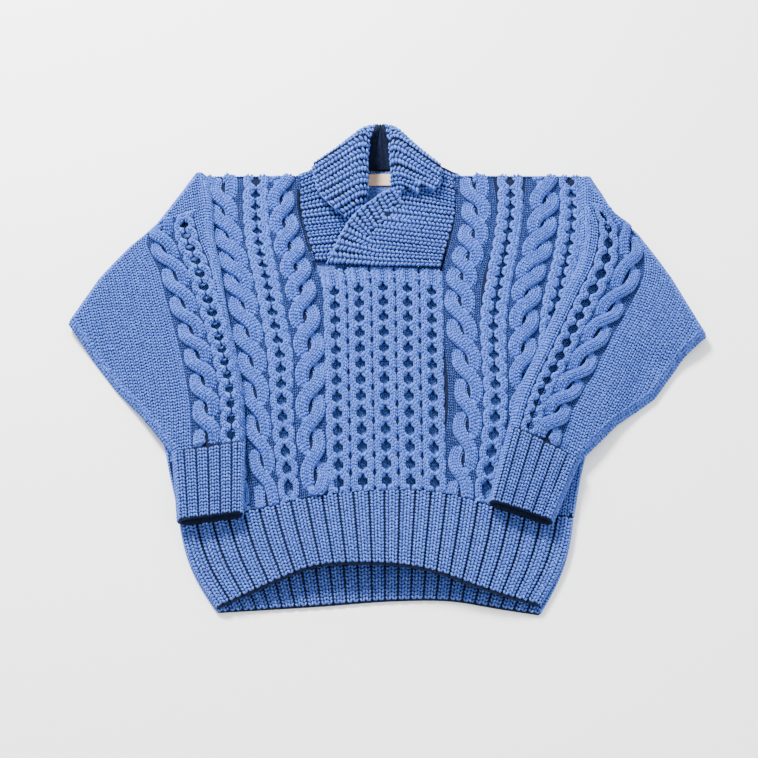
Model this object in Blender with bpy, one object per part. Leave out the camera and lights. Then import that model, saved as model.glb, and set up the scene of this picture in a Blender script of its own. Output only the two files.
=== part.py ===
"""A chunky hand-knit shawl collar sweater, laid flat on its back.

Both sleeves are folded over the front. The front carries eyelet columns and rope cables, the hem,
cuffs and collar are ribbed, and the collar's right end laps over its left across the front.

Plan tables are in centimetres: x to the right, y from the hem towards the collar, z up from the
surface that the sweater lies on. At the end the whole is moved so that the origin is the bottom
centre of its bounding box. "left" and "right" are as seen from above with the collar at the top.
"""

import math

import bmesh
import bpy
import numpy as np

CM = 0.01

# Cloth, cm
WALL = 0.42
BACK_WALL = 0.45
SEAM = 0.04
LAYER_GAP = 0.09
REST_LOFT = 0.06
BODY_LOFT = 0.25
HEM_LIFT = 2.3
HEM_LIFT_REACH = 8.0

# Raised knitting, cm above the plain wall
CABLE_RISE = 0.60
EYELET_RIM = 0.24
RIB_RISE = 0.24
EYELET_HALF = 0.48
CABLE_HALF = 1.30
ROWS_PER_LOBE = 2.0
SEAM_RISE = 0.10
EDGE_THINNING = 0.14
HEM_THINNING = 0.08
BACK_RIB_GROOVE = 0.10

# Rows of eyelets, counted from the one above the hem rib
EYELET_ROWS = 23
EYELET_HALF_ROW = 0.21
NECK_ROW = 14
CENTRE_EYELETS = 5
CENTRE_EYELET_ROWS = 13
SLEEVE_EYELETS = 17

HEM_RIBS = 25
CUFF_RIBS = 12
COLLAR_RIBS = 36

# Where each column of the knitting runs: x in cm at each height y
COLUMN_NAMES = (
    "height", "side_left", "outer_eyelet_left", "outer_cable_left", "eyelet_left", "inner_cable_left",
    "first_eyelet", "last_eyelet", "inner_cable_right", "eyelet_right", "outer_cable_right",
    "outer_eyelet_right", "side_right",
)
COLUMN_TABLE = (
    (-22.0, -25.1, -17.7, -13.9, -11.1, -7.7, -5.0, 7.1, 9.9, 13.2, 16.3, 19.7, 24.4),
    (-19.0, -25.8, -18.2, -14.3, -11.4, -7.9, -5.1, 7.2, 10.2, 13.6, 16.9, 20.2, 25.1),
    (-15.0, -26.9, -18.8, -14.9, -11.8, -8.2, -5.2, 7.2, 10.6, 14.1, 17.6, 21.0, 26.0),
    (-9.0, -28.4, -19.7, -15.8, -12.5, -9.0, -5.4, 7.2, 11.5, 15.1, 18.7, 22.2, 27.8),
    (-3.0, -30.2, -20.6, -16.5, -13.0, -9.1, -5.6, 7.2, 12.0, 15.6, 19.3, 22.8, 30.0),
    (3.0, -31.6, -21.6, -17.4, -13.4, -9.3, -5.8, 7.2, 11.8, 15.6, 19.5, 23.2, 31.8),
    (9.0, -32.3, -22.7, -18.4, -14.5, -10.2, -6.0, 7.3, 11.2, 15.8, 20.0, 23.9, 32.6),
    (15.0, -32.3, -24.0, -19.7, -15.7, -11.2, -6.4, 7.3, 11.5, 16.8, 20.9, 25.4, 33.0),
    (21.0, -31.9, -25.4, -21.2, -17.0, -12.8, -8.2, 7.2, 13.1, 18.0, 22.6, 26.9, 33.4),
    (27.0, -30.0, -26.2, -22.4, -17.7, -14.0, -9.4, 8.7, 14.0, 18.9, 23.7, 27.8, 33.2),
    (33.0, -26.9, -25.2, -22.6, -17.9, -14.2, -9.2, 8.7, 13.7, 19.1, 24.2, 27.8, 30.6),
)
HEIGHTS = [row[0] for row in COLUMN_TABLE]
COLUMNS = {name: [row[i] for row in COLUMN_TABLE] for i, name in enumerate(COLUMN_NAMES)}

# Height y of an eyelet row down the middle and 17 cm out to the sides, cm
BODY_MIDDLE = 0.9
SIDE_REACH = 17.0
ROW_TABLE = (
    # row, middle, side
    (-0.85, -17.1, -19.3),
    (0.0, -15.7, -16.6),
    (6.0, -0.7, -1.5),
    (12.0, 13.8, 11.9),
    (17.0, 23.4, 21.1),
    (22.5, 33.2, 32.6),
)

# Edges of the hem ribs: front rib top, front rib lower edge, back rib lower edge, cm
FRONT_RIB_TOP = ((-25.3, -21.3), (-14.4, -19.3), (-8.8, -18.0), (0.0, -17.1), (6.0, -17.1), (11.1, -18.0),
                 (14.6, -19.2), (24.7, -20.6))
FRONT_HEM = ((-19.9, -32.6), (-15.7, -30.9), (-12.1, -29.4), (-9.2, -28.3), (-1.6, -27.7), (4.0, -28.1),
             (7.7, -28.9), (11.5, -30.2), (15.2, -31.3), (19.8, -32.3))
BACK_HEM = ((-19.9, -32.9), (-7.3, -32.1), (2.1, -31.4), (8.7, -31.4), (15.4, -32.5), (19.8, -33.2))
HEM_HALF = 19.8
HEM_MIDDLE = 0.0
HEM_BULGE = 0.9

# Back neck, cm
SHOULDER_HEIGHT = 32.8
BACK_NECK_HEIGHT = 34.2
BACK_NECK_HALF = 11.0
NECK_RAMP = 2.0

# Sleeves: each row of the table is one row of knitting, from the shoulder fold to the cuff.
# part is 0 at the armhole seam and 1 at the cuff; the fold along the sleeve's top line is its inner
# edge; the last three columns are distances from that edge. cm
SLEEVE_NAMES = ("part", "inner_x", "inner_y", "outer_x", "outer_y", "eyelet", "cable", "plain")
SLEEVE_TABLE = {
    "left": (
        (-0.17, -24.9, 32.2, -26.6, 32.9, 0.6, 1.0, 1.3),
        (-0.08, -24.3, 29.2, -29.3, 28.2, 2.0, 3.6, 4.5),
        (0.00, -23.8, 26.1, -31.9, 23.7, 3.8, 6.4, 7.6),
        (0.12, -23.4, 21.6, -35.3, 20.3, 3.7, 7.3, 9.2),
        (0.25, -22.3, 16.8, -39.2, 14.8, 3.0, 6.4, 8.3),
        (0.37, -21.5, 12.4, -42.6, 8.0, 2.4, 5.8, 7.7),
        (0.50, -20.5, 7.6, -38.9, 2.8, 1.8, 5.2, 7.2),
        (0.65, -19.3, 2.6, -35.3, -1.9, 1.6, 5.0, 7.0),
        (0.80, -18.2, -2.8, -31.4, -6.2, 1.5, 4.9, 6.9),
        (1.00, -17.5, -10.9, -26.8, -12.0, 1.6, 4.8, 6.7),
    ),
    "right": (
        (-0.17, 29.1, 31.8, 30.7, 32.4, 0.6, 1.0, 1.3),
        (-0.08, 29.1, 29.8, 31.9, 29.4, 1.2, 2.1, 2.6),
        (0.00, 29.0, 27.5, 33.8, 25.9, 2.2, 3.7, 4.5),
        (0.12, 28.8, 22.9, 37.0, 22.4, 3.6, 6.3, 7.5),
        (0.25, 27.9, 17.4, 40.9, 15.0, 3.6, 7.0, 9.0),
        (0.37, 25.7, 12.6, 44.7, 6.0, 3.4, 6.8, 8.9),
        (0.50, 23.4, 7.6, 41.3, 2.9, 3.3, 6.5, 8.5),
        (0.65, 20.9, 2.0, 36.9, -3.1, 3.1, 6.2, 8.1),
        (0.80, 18.6, -2.8, 31.6, -7.1, 3.0, 5.8, 7.6),
        (1.00, 17.0, -8.6, 25.9, -13.1, 2.6, 5.1, 6.9),
    ),
}
SHOULDER_FOLD_PART = -0.17
CORNER_PART = 0.37
SLEEVE_LOFT = 0.75
EDGE_ROUND = 1.3
SLEEVE_END_GAP = 0.0005
EYELET_PART_START = 0.06
EYELET_PART_END = 0.965
EYELET_PITCH = (EYELET_PART_END - EYELET_PART_START) / (SLEEVE_EYELETS - 1)
CABLE_FADE = 0.12
ROOT_HEIGHT = 0.90
ROOT_INSET = 1.0
# How far in from the outline, and the height: two rounded layers with a groove between them
ROOT_PROFILE = ((0.25, 0.0), (0.0, 0.15), (0.0, 0.32), (0.14, 0.45), (0.0, 0.58), (0.0, 0.76), (0.3, 0.85))
UNDER_INSET = {"left": 0.7, "right": 0.85}
ROOT_GAP = 0.05
UNDERARM_HEIGHT = 6.0
UNDER_WALL = 0.38
DRAPE_REACH = 5.0

# Cuffs: far edge of each, inner and outer corner, cm
CUFF_END = {"left": ((-17.2, -20.8), (-25.4, -21.8)), "right": ((14.0, -19.4), (21.9, -21.9))}
CUFF_HEIGHT = 1.9
CUFF_MOUTH = 2.3
CUFF_RIB_RISE = 0.28
# Draws the points across a cuff towards its two rounded edges: 0 is even, 1 is all the way
EDGE_CROWDING = 0.35

# Collar: one strip of rib, a row for each rib named, from the lower left end round the back neck to
# the lower right end. seam is where it is sewn on, roll where it turns over, edge its bound-off
# edge; over_side and over_up are half the height of the turn, beside and above the strip. cm
COLLAR_NAMES = ("seam_x", "seam_y", "seam_z", "roll_x", "roll_y", "roll_z", "edge_x", "edge_y", "edge_z",
                "over_side", "over_up")
COLLAR_TABLE = (
    (-8.9, 18.3, 0.85, -1.5, 18.3, 0.85, 5.8, 18.2, 0.85, 0.0, 0.0),
    (-10.0, 21.6, 0.90, -2.2, 22.6, 0.90, 4.0, 23.0, 0.95, 0.0, 0.0),
    (-10.8, 24.6, 0.90, -2.4, 25.6, 1.45, -3.2, 24.6, 1.75, 0.0, 0.3),
    (-11.3, 27.3, 0.90, -2.0, 28.6, 3.20, -6.4, 26.2, 2.90, 0.0, 0.7),
    (-11.4, 29.6, 0.90, -2.0, 31.6, 4.00, -8.5, 28.9, 2.80, 0.0, 0.8),
    (-11.3, 31.6, 0.85, -2.0, 34.6, 4.20, -9.1, 31.2, 2.70, 0.1, 0.8),
    (-11.1, 33.3, 0.70, -1.7, 37.4, 4.10, -9.4, 33.6, 2.50, 0.5, 0.6),
    (-7.4, 34.36, 0.45, -1.1, 39.3, 3.60, -7.9, 34.9, 1.10, 0.8, 0.0),
    (-3.8, 34.36, 0.40, -0.5, 40.3, 3.00, -4.6, 36.0, 0.45, 0.5, -0.6),
    (0.2, 34.36, 0.40, 0.2, 40.7, 2.60, 0.2, 36.4, 0.40, 0.0, -0.8),
    (4.2, 34.36, 0.40, 0.9, 40.3, 3.00, 4.9, 36.0, 0.45, -0.5, -0.6),
    (7.6, 34.36, 0.45, 1.4, 39.3, 3.60, 7.6, 34.9, 1.10, -0.8, 0.0),
    (10.9, 33.5, 0.70, 1.8, 37.2, 4.10, 8.8, 33.4, 2.50, -0.5, 0.6),
    (10.8, 31.6, 0.85, 2.0, 34.2, 4.20, 8.7, 31.2, 2.70, -0.1, 0.8),
    (11.0, 29.8, 0.90, 2.1, 31.2, 4.10, 8.2, 29.7, 2.85, 0.0, 0.8),
    (11.0, 28.2, 0.90, 2.2, 29.2, 3.60, 4.6, 29.0, 3.55, 0.0, 0.5),
    (10.9, 26.6, 0.90, 2.9, 26.7, 2.72, 1.6, 28.6, 3.70, 0.0, 0.0),
    (10.5, 24.2, 0.90, 0.9, 24.4, 2.66, -0.6, 27.0, 3.70, 0.0, 0.0),
    (9.6, 20.8, 1.00, -1.4, 21.6, 2.26, -4.0, 23.8, 3.20, 0.0, 0.0),
    (8.6, 16.6, 1.75, 0.5, 16.8, 1.80, -7.3, 17.2, 1.80, 0.0, 0.0),
)
COLLAR_SAMPLES = 600
COLLAR_TURN = 0.9
COLLAR_ACROSS = (0.0, 1.0, 2.0, 2.6, 3.4, 4.0, 5.0, 6.0)
COLLAR_WALL = 0.44

LABEL_SIZE = (4.3, 2.1)
LABEL_PLACE = (0.2, 32.6)
LABEL_THICKNESS = 0.09

YARN = (0.105, 0.195, 0.46, 1.0)
TAB_CLOTH = (0.80, 0.60, 0.42, 1.0)


# ---------------------------------------------------------------- curves and heights

def curve(places, values, at):
    """A smooth curve through the values at the given places, read at `at` and held at its ends."""
    places = np.asarray(places, float)
    values = np.asarray(values, float)
    at = np.clip(np.asarray(at, float), places[0], places[-1])
    slopes = np.gradient(values, places, axis=0)
    index = np.clip(np.searchsorted(places, at) - 1, 0, len(places) - 2)
    width = places[index + 1] - places[index]
    t = (at - places[index]) / width
    if values.ndim > 1:
        width = width[..., None]
        t = t[..., None]
    rise_in = (2 * t**3 - 3 * t**2 + 1) * values[index] + (t**3 - 2 * t**2 + t) * width * slopes[index]
    rise_out = (3 * t**2 - 2 * t**3) * values[index + 1] + (t**3 - t**2) * width * slopes[index + 1]
    return rise_in + rise_out


def line(points, x):
    """The height y at x of a smooth line through a few plan points."""
    return curve([p[0] for p in points], [p[1] for p in points], x)


def ease(t):
    t = np.clip(t, 0.0, 1.0)
    return t * t * (3 - 2 * t)


def column(name, y):
    return curve(HEIGHTS, COLUMNS[name], y)


def row_height(row, x):
    """The height y of an eyelet row at x: rows bow down towards the sides."""
    rows, middle, side = zip(*ROW_TABLE)
    spread = ease(np.abs(x - BODY_MIDDLE) / SIDE_REACH)
    return np.interp(row, rows, middle) * (1 - spread) + np.interp(row, rows, side) * spread


def front_underside(x, y):
    """The height z of the front's inner face: just above the back, lifted in an arch at the hem."""
    across = np.clip(np.abs((x - HEM_MIDDLE) / HEM_HALF), 0.0, 1.0)
    from_hem = np.maximum(y - line(FRONT_HEM, x), 0.0)
    arch = HEM_LIFT * (1 - across**2) * np.exp(-((from_hem / HEM_LIFT_REACH) ** 2))
    half = 0.5 * (column("side_right", y) - column("side_left", y))
    puff = BODY_LOFT * (1 - np.clip(np.abs(x - BODY_MIDDLE) / half, 0.0, 1.0) ** 2)
    return BACK_WALL + REST_LOFT + arch + puff


def cable_relief(across, along, lean):
    """Height of a rope cable: diagonal lobes that cross it, one to each unit of `along`."""
    lobe = 0.62 + 0.38 * np.cos(2 * math.pi * (along - 0.5 * lean * across))
    return CABLE_RISE * lobe


def distance_outside(x, y, polygon):
    """How far each plan point lies outside a polygon, 0 inside it."""
    corners = np.asarray(polygon, float)
    nearest = np.full(np.shape(x), 1e9)
    inside = np.zeros(np.shape(x), bool)
    for (ax, ay), (bx, by) in zip(corners, np.roll(corners, -1, axis=0)):
        t = np.clip(((x - ax) * (bx - ax) + (y - ay) * (by - ay)) / ((bx - ax) ** 2 + (by - ay) ** 2), 0, 1)
        nearest = np.minimum(nearest, np.hypot(x - ax - t * (bx - ax), y - ay - t * (by - ay)))
        if ay != by:
            inside ^= ((ay > y) != (by > y)) & (x < (bx - ax) * (y - ay) / (by - ay) + ax)
    return np.where(inside, 0.0, nearest)


def body_outline():
    """Plan outline of the body, from the lower left corner up, over the shoulders and down."""
    heights = [-33.0, -27.0, -21.0] + HEIGHTS[1:]
    left = [(float(side_of_body("left", y)), y) for y in heights]
    right = [(float(side_of_body("right", y)), y) for y in reversed(heights)]
    return left + right


def side_of_body(side, y):
    """x of the body's side edge at height y, the ribbed hem included."""
    above = column("side_" + side, y)
    corner = -HEM_HALF if side == "left" else HEM_HALF
    rib_top = FRONT_RIB_TOP[0] if side == "left" else FRONT_RIB_TOP[-1]
    down = np.clip((rib_top[1] - y) / (rib_top[1] + 32.9), 0.0, 1.0)
    return np.where(y > rib_top[1], above, rib_top[0] + (corner - rib_top[0]) * down**0.8)


def root_outline(side):
    """Plan outline of the part of a sleeve that stays unfolded below: seam, corner, underarm."""
    top = sleeve_edge(side, "outer", 0.04)
    mid = sleeve_edge(side, "outer", 0.20)
    corner = sleeve_edge(side, "outer", CORNER_PART)
    sign = -1.0 if side == "left" else 1.0
    along_body = np.linspace(UNDERARM_HEIGHT, top[1] - 1.5, 8)
    body_side = [np.array([float(side_of_body(side, y)) + sign * ROOT_GAP, y]) for y in along_body]
    return [*body_side, mid + (-sign * ROOT_INSET, -0.6), corner + (-sign * 1.6, -0.3)]


def floor_under_sleeve(x, y):
    """The height z that a folded sleeve lies at: on the body, on its own root, or on the surface."""
    inside = np.minimum(x - column("outer_eyelet_left", y), column("outer_eyelet_right", y) - x)
    raised = EYELET_RIM * ease((inside + 2.4) / 1.2) + (CABLE_RISE - EYELET_RIM) * ease(inside / 1.5)
    ribbed = RIB_RISE * ease(line(FRONT_RIB_TOP, x) + 1.0 - y)
    body = front_underside(x, y) + WALL + np.maximum(raised, ribbed) + LAYER_GAP
    away = distance_outside(x, y, body_outline())
    height = body * (1 - ease(away / DRAPE_REACH))
    for side in ("left", "right"):
        away = distance_outside(x, y, root_outline(side))
        height = np.maximum(height, (ROOT_HEIGHT + LAYER_GAP) * (1 - ease(away / DRAPE_REACH)))
    return height


# ---------------------------------------------------------------- meshes

def new_object(name, points, faces, colour, roughness=0.9):
    """One closed solid from points in cm, with its faces turned outward and its own material."""
    mesh = bpy.data.meshes.new(name)
    mesh.from_pydata([tuple(CM * float(c) for c in p) for p in points], [], faces)
    shape = bmesh.new()
    shape.from_mesh(mesh)
    bmesh.ops.recalc_face_normals(shape, faces=shape.faces)
    shape.to_mesh(mesh)
    shape.free()
    mesh.shade_smooth()
    mesh.set_sharp_from_angle(angle=math.radians(50))
    material = bpy.data.materials.new(name)
    material.use_nodes = True
    shader = material.node_tree.nodes["Principled BSDF"]
    shader.inputs["Base Color"].default_value = colour
    shader.inputs["Roughness"].default_value = roughness
    shader.inputs["Metallic"].default_value = 0.0
    mesh.materials.append(material)
    made = bpy.data.objects.new(name, mesh)
    bpy.context.scene.collection.objects.link(made)
    return made


def wall(name, outer, inner, keep=None, inner_lines=None, colour=YARN):
    """A wall between two grids of points. keep says which cells are cloth, the rest are holes.

    inner_lines lists the columns that the plain inner face uses, so that it needs fewer faces than
    the raised outer face; the cells between two of them are all cloth or all hole.
    """
    rows, columns = outer.shape[:2]
    if keep is None:
        keep = np.ones((rows - 1, columns - 1), bool)
    if inner_lines is None:
        inner_lines = list(range(columns))
    points = list(outer.reshape(-1, 3)) + list(inner.reshape(-1, 3))

    def out(i, j):
        return i * columns + j

    def inn(i, j):
        return rows * columns + i * columns + j

    faces = []
    for i in range(rows - 1):
        for j in range(columns - 1):
            if keep[i, j]:
                faces.append((out(i, j), out(i, j + 1), out(i + 1, j + 1), out(i + 1, j)))
    spans = list(zip(inner_lines[:-1], inner_lines[1:]))
    for i in range(rows - 1):
        for a, b in spans:
            if keep[i, a]:
                faces.append((inn(i, a), inn(i + 1, a), inn(i + 1, b), inn(i, b)))
    for i in range(rows):
        for a, b in spans:
            below = i > 0 and keep[i - 1, a]
            above = i < rows - 1 and keep[i, a]
            if below != above:
                faces.append([out(i, j) for j in range(a, b + 1)] + [inn(i, b), inn(i, a)])
    for i in range(rows - 1):
        for j in range(columns):
            before = j > 0 and keep[i, j - 1]
            after = j < columns - 1 and keep[i, j]
            if before != after:
                faces.append((out(i, j), out(i + 1, j), inn(i + 1, j), inn(i, j)))
    used = sorted({index for face in faces for index in face})
    place = {index: k for k, index in enumerate(used)}
    return new_object(name, [points[index] for index in used], [[place[v] for v in f] for f in faces], colour)


def ribbed_lines(count, start, end):
    """Places across a band of ribs, with the rise at each: a groove, then the two sides of a rib."""
    pitch = (end - start) / count
    places = []
    rises = []
    for rib in range(count):
        places += [start + rib * pitch, start + (rib + 0.3) * pitch, start + (rib + 0.75) * pitch]
        rises += [0.0, 1.0, 1.0]
    return np.array(places + [end]), np.array(rises + [0.0])


# ---------------------------------------------------------------- front

def front_lines(y):
    """x of every line of the front's grid at height y, left to right."""
    centre = [column("first_eyelet", y) * (1 - k / 4) + column("last_eyelet", y) * (k / 4)
              for k in range(CENTRE_EYELETS)]
    features = [("eyelet", column("outer_eyelet_left", y)), ("cable", column("outer_cable_left", y)),
                ("eyelet", column("eyelet_left", y)), ("cable", column("inner_cable_left", y))]
    features += [("eyelet", x) for x in centre]
    features += [("cable", column("inner_cable_right", y)), ("eyelet", column("eyelet_right", y)),
                 ("cable", column("outer_cable_right", y)), ("eyelet", column("outer_eyelet_right", y))]
    lines = [column("side_left", y), 0.6 * features[0][1] + 0.4 * column("side_left", y)]
    for k, (kind, x) in enumerate(features):
        half = EYELET_HALF if kind == "eyelet" else CABLE_HALF
        lines += [x - half, x, x + half] if kind == "cable" else [x - half, x + half]
        if k + 1 < len(features):
            lines.append(0.5 * (x + features[k + 1][1]))
    lines += [0.6 * features[-1][1] + 0.4 * column("side_right", y), column("side_right", y)]
    return lines


FEATURE_KINDS = (
    "eyelet", "cable", "eyelet", "cable", "eyelet", "eyelet", "eyelet", "eyelet", "eyelet", "cable", "eyelet",
    "cable", "eyelet",
)
CENTRE_FEATURES = range(4, 9)

# Which way each cable's lobes lean, by its place in FEATURE_KINDS: -1 down to the right, 1 down to the left
CABLE_LEANS = {1: -1.0, 3: 1.0, 9: -1.0, 11: 1.0}
# On both sleeves, counted from the fold outward and from the armhole down
SLEEVE_LEAN = -1.0

# How far across the cable each of its lines lies, for the lean of the lobes
CABLE_ACROSS = {"cable": -0.75, "cable_middle": 0.0, "cable_end": 0.75}


def line_kinds():
    """What each line of the front's grid is: an edge, a gutter, an eyelet's side or part of a cable."""
    kinds = [("edge", 0), ("gutter", 0)]
    for k, kind in enumerate(FEATURE_KINDS):
        if kind == "eyelet":
            kinds += [("eyelet", k), ("eyelet_end", k)]
        else:
            kinds += [("cable", k), ("cable_middle", k), ("cable_end", k)]
        kinds.append(("gutter", k))
    return kinds + [("edge", 1)]


def row_lines():
    """Eyelet-row numbers of the front's grid lines, from the hem rib to the shoulder."""
    lines = [-0.85]
    for row in range(EYELET_ROWS):
        lines += [row - EYELET_HALF_ROW, row + EYELET_HALF_ROW]
    return lines[:-1] + [22.21, 22.5]


def make_front():
    kinds = line_kinds()
    rows = row_lines()
    outer = np.zeros((len(rows), len(kinds), 3))
    inner = np.zeros_like(outer)
    for i, row in enumerate(rows):
        guess = float(row_height(row, BODY_MIDDLE))
        xs = np.array([float(x) for x in front_lines(guess)])
        for _ in range(3):
            ys = row_height(row, xs)
            xs = np.array([float(front_lines(y)[j]) for j, y in enumerate(ys)])
        if i == 0:
            ys = line(FRONT_RIB_TOP, xs) + SEAM
        if i == len(rows) - 1:
            ys = np.full(len(xs), SHOULDER_HEIGHT)
        under = front_underside(xs, ys)
        for j, (kind, k) in enumerate(kinds):
            rise = 0.0
            if kind.startswith("eyelet"):
                rise = EYELET_RIM
            if kind.startswith("cable"):
                rise = float(cable_relief(CABLE_ACROSS[kind], row / ROWS_PER_LOBE, CABLE_LEANS[k]))
            if kind == "edge":
                rise = -EDGE_THINNING
            if i in (0, len(rows) - 1):
                rise = min(rise, SEAM_RISE)
            outer[i, j] = (xs[j], ys[j], under[j] + WALL + rise)
            inner[i, j] = (xs[j], ys[j], under[j])
    keep = np.ones((len(rows) - 1, len(kinds) - 1), bool)
    starts = [j for j, (kind, k) in enumerate(kinds) if kind == "eyelet"]
    middle = [j for j, (kind, k) in enumerate(kinds) if kind == "eyelet" and k in CENTRE_FEATURES]
    for row in range(EYELET_ROWS):
        for j in starts:
            if j not in middle or row < CENTRE_EYELET_ROWS:
                keep[1 + 2 * row, j] = False
    neck_left = middle[0] - 1
    neck_right = middle[-1] + 2
    keep[2 * NECK_ROW:, neck_left:neck_right] = False
    inner_lines = [j for j, (kind, k) in enumerate(kinds) if not kind.startswith("cable")]
    wall("front", outer, inner, keep, inner_lines)


# ---------------------------------------------------------------- back and hem ribs

def back_neck_top(x):
    ramp = ease((BACK_NECK_HALF + NECK_RAMP - np.abs(x)) / NECK_RAMP)
    return SHOULDER_HEIGHT + (BACK_NECK_HEIGHT - SHOULDER_HEIGHT) * ramp


def make_back():
    shares = np.linspace(0.0, 1.0, HEM_RIBS + 1)
    heights = [HEIGHTS[0]] + HEIGHTS[2:-1] + [SHOULDER_HEIGHT]
    outer = np.zeros((len(heights), len(shares), 3))
    for i, y in enumerate(heights):
        xs = side_of_body("left", y) * (1 - shares) + side_of_body("right", y) * shares
        ys = np.full(len(xs), float(y))
        if i == 0:
            xs = FRONT_RIB_TOP[0][0] * (1 - shares) + FRONT_RIB_TOP[-1][0] * shares
            ys = line(FRONT_RIB_TOP, xs) + SEAM
        if i == len(heights) - 1:
            ys = back_neck_top(xs)
        outer[i] = np.column_stack([xs, ys, np.full(len(xs), BACK_WALL)])
    inner = outer.copy()
    inner[:, :, 2] = 0.0
    outer[:, 0, 2] -= EDGE_THINNING
    outer[:, -1, 2] -= EDGE_THINNING
    wall("back", outer, inner)


def rib_grid(hem, seam, rows):
    """Plan points of a hem rib and the rise at each of its lines."""
    shares, rises = ribbed_lines(HEM_RIBS, 0.0, 1.0)
    top_x = FRONT_RIB_TOP[0][0] + shares * (FRONT_RIB_TOP[-1][0] - FRONT_RIB_TOP[0][0])
    low_x = hem[0][0] + shares * (hem[-1][0] - hem[0][0])
    top = np.column_stack([top_x, line(FRONT_RIB_TOP, top_x) - seam])
    low = np.column_stack([low_x, line(hem, low_x)])
    down = np.linspace(0.0, 1.0, rows)[::-1][:, None, None]
    grid = top[None] * (1 - down) + low[None] * down
    grid[:, :, 0] += HEM_BULGE * (2 * shares - 1) ** 3 * np.sin(np.pi * down[:, :, 0])
    return grid, rises


def make_front_rib():
    grid, rises = rib_grid(FRONT_HEM, SEAM, 5)
    under = front_underside(grid[:, :, 0], grid[:, :, 1])
    rise = np.tile(rises * RIB_RISE, (grid.shape[0], 1))
    rise[0] -= HEM_THINNING
    rise[:, 0] = -EDGE_THINNING
    rise[:, -1] = -EDGE_THINNING
    outer = np.dstack([grid, under + WALL + rise])
    inner = np.dstack([grid, under])
    inner_lines = list(range(0, grid.shape[1], 3))
    wall("front_rib", outer, inner, None, inner_lines)


def make_back_rib():
    grid, rises = rib_grid(BACK_HEM, SEAM, 4)
    fading = np.array([1.0, 1.0, 0.5, 0.0])[:, None]
    top = np.dstack([grid, BACK_WALL + BACK_RIB_GROOVE * (rises[None] * fading - 1)])
    bottom = np.dstack([grid, np.zeros(grid.shape[:2])])
    wall("back_rib", top, bottom, None, list(range(0, grid.shape[1], 3)))


# ---------------------------------------------------------------- sleeves

def sleeve_table(side):
    rows = SLEEVE_TABLE[side]
    return {name: [row[i] for row in rows] for i, name in enumerate(SLEEVE_NAMES)}


def sleeve_edge(side, edge, part):
    """A plan point on a sleeve's inner or outer edge. The outer edge keeps its sharp corner."""
    table = sleeve_table(side)
    if edge == "outer":
        return np.array([np.interp(part, table["part"], table["outer_x"]),
                         np.interp(part, table["part"], table["outer_y"])])
    return np.array([curve(table["part"], table["inner_" + axis], part) for axis in "xy"])


def sleeve_reach(side, name, part):
    table = sleeve_table(side)
    return float(curve(table["part"], table[name], part))


def round_off(distance, width):
    """1 over most of a flattened tube, falling to 0 in a quarter circle at each of its edges."""
    near = np.minimum(distance, width - distance)
    t = np.clip(near / min(EDGE_ROUND, 0.5 * width), 0.0, 1.0)
    return np.sqrt(np.clip(1 - (1 - t) ** 2, 0.0, 1.0))


def sleeve_floor(side, part, distances, width):
    """Plan points across a sleeve at a row, and the height that it lies on there."""
    inner = sleeve_edge(side, "inner", part)
    outer = sleeve_edge(side, "outer", part)
    share = np.asarray(distances) / width
    plan = inner[None] * (1 - share[:, None]) + outer[None] * share[:, None]
    return plan, floor_under_sleeve(plan[:, 0], plan[:, 1])


def sleeve_lines(side, part, width):
    """Distances from the inner edge of each line of a sleeve's grid, with its kind."""
    eyelet = sleeve_reach(side, "eyelet", part)
    cable = sleeve_reach(side, "cable", part)
    plain = sleeve_reach(side, "plain", part)
    half = min(EYELET_HALF, 0.3 * eyelet)
    cable_half = min(CABLE_HALF, 0.42 * (plain - eyelet))
    first = max(eyelet - 1.7, 0.45 * eyelet)
    rest = width - plain
    lines = [(0.0, "edge"), (0.4 * first, "plain"), (first, "gutter"), (eyelet - half, "eyelet"),
             (eyelet + half, "eyelet_end"), (0.5 * (eyelet + half + cable - cable_half), "gutter"),
             (cable - cable_half, "cable"), (cable, "cable_middle"), (cable + cable_half, "cable_end"),
             (plain, "gutter"), (plain + 0.30 * rest, "plain"), (plain + 0.65 * rest, "plain"),
             (width - min(0.7, 0.2 * rest), "plain"), (width, "edge")]
    return lines


def sleeve_surface(side, parts, raised=True):
    """Outer and inner grids of a sleeve's upper wall for the rows given."""
    outer = []
    inner = []
    for part in parts:
        width = float(np.linalg.norm(sleeve_edge(side, "outer", part) - sleeve_edge(side, "inner", part)))
        lines = sleeve_lines(side, part, width)
        out_d = np.array([d for d, _ in lines])
        in_d = np.clip(out_d, WALL, width - WALL)
        loft = SLEEVE_LOFT * math.sqrt(min(1.0, width / 12.0))
        plan_out, floor_out = sleeve_floor(side, part, out_d, width)
        plan_in, floor_in = sleeve_floor(side, part, in_d, width)
        bow = np.sin(np.pi * np.clip(out_d / width, 0, 1))
        top = (2 * WALL + LAYER_GAP + 0.35 * loft + 0.65 * loft * bow) * round_off(out_d, width)
        for j, (_, kind) in enumerate(lines):
            if raised and kind.startswith("eyelet"):
                top[j] += EYELET_RIM
            if raised and kind.startswith("cable"):
                along = part / (EYELET_PITCH * ROWS_PER_LOBE)
                relief = cable_relief(CABLE_ACROSS[kind], along, SLEEVE_LEAN)
                top[j] += float(relief * ease(part / CABLE_FADE))
        bow_in = np.sin(np.pi * np.clip(in_d / width, 0, 1))
        under = WALL + LAYER_GAP + 0.35 * loft + 0.65 * loft * bow_in
        under *= round_off(in_d - WALL, width - 2 * WALL)
        outer.append(np.column_stack([plan_out, floor_out + top]))
        inner.append(np.column_stack([plan_in, floor_in + under]))
    return np.array(outer), np.array(inner), [kind for _, kind in lines]


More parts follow.
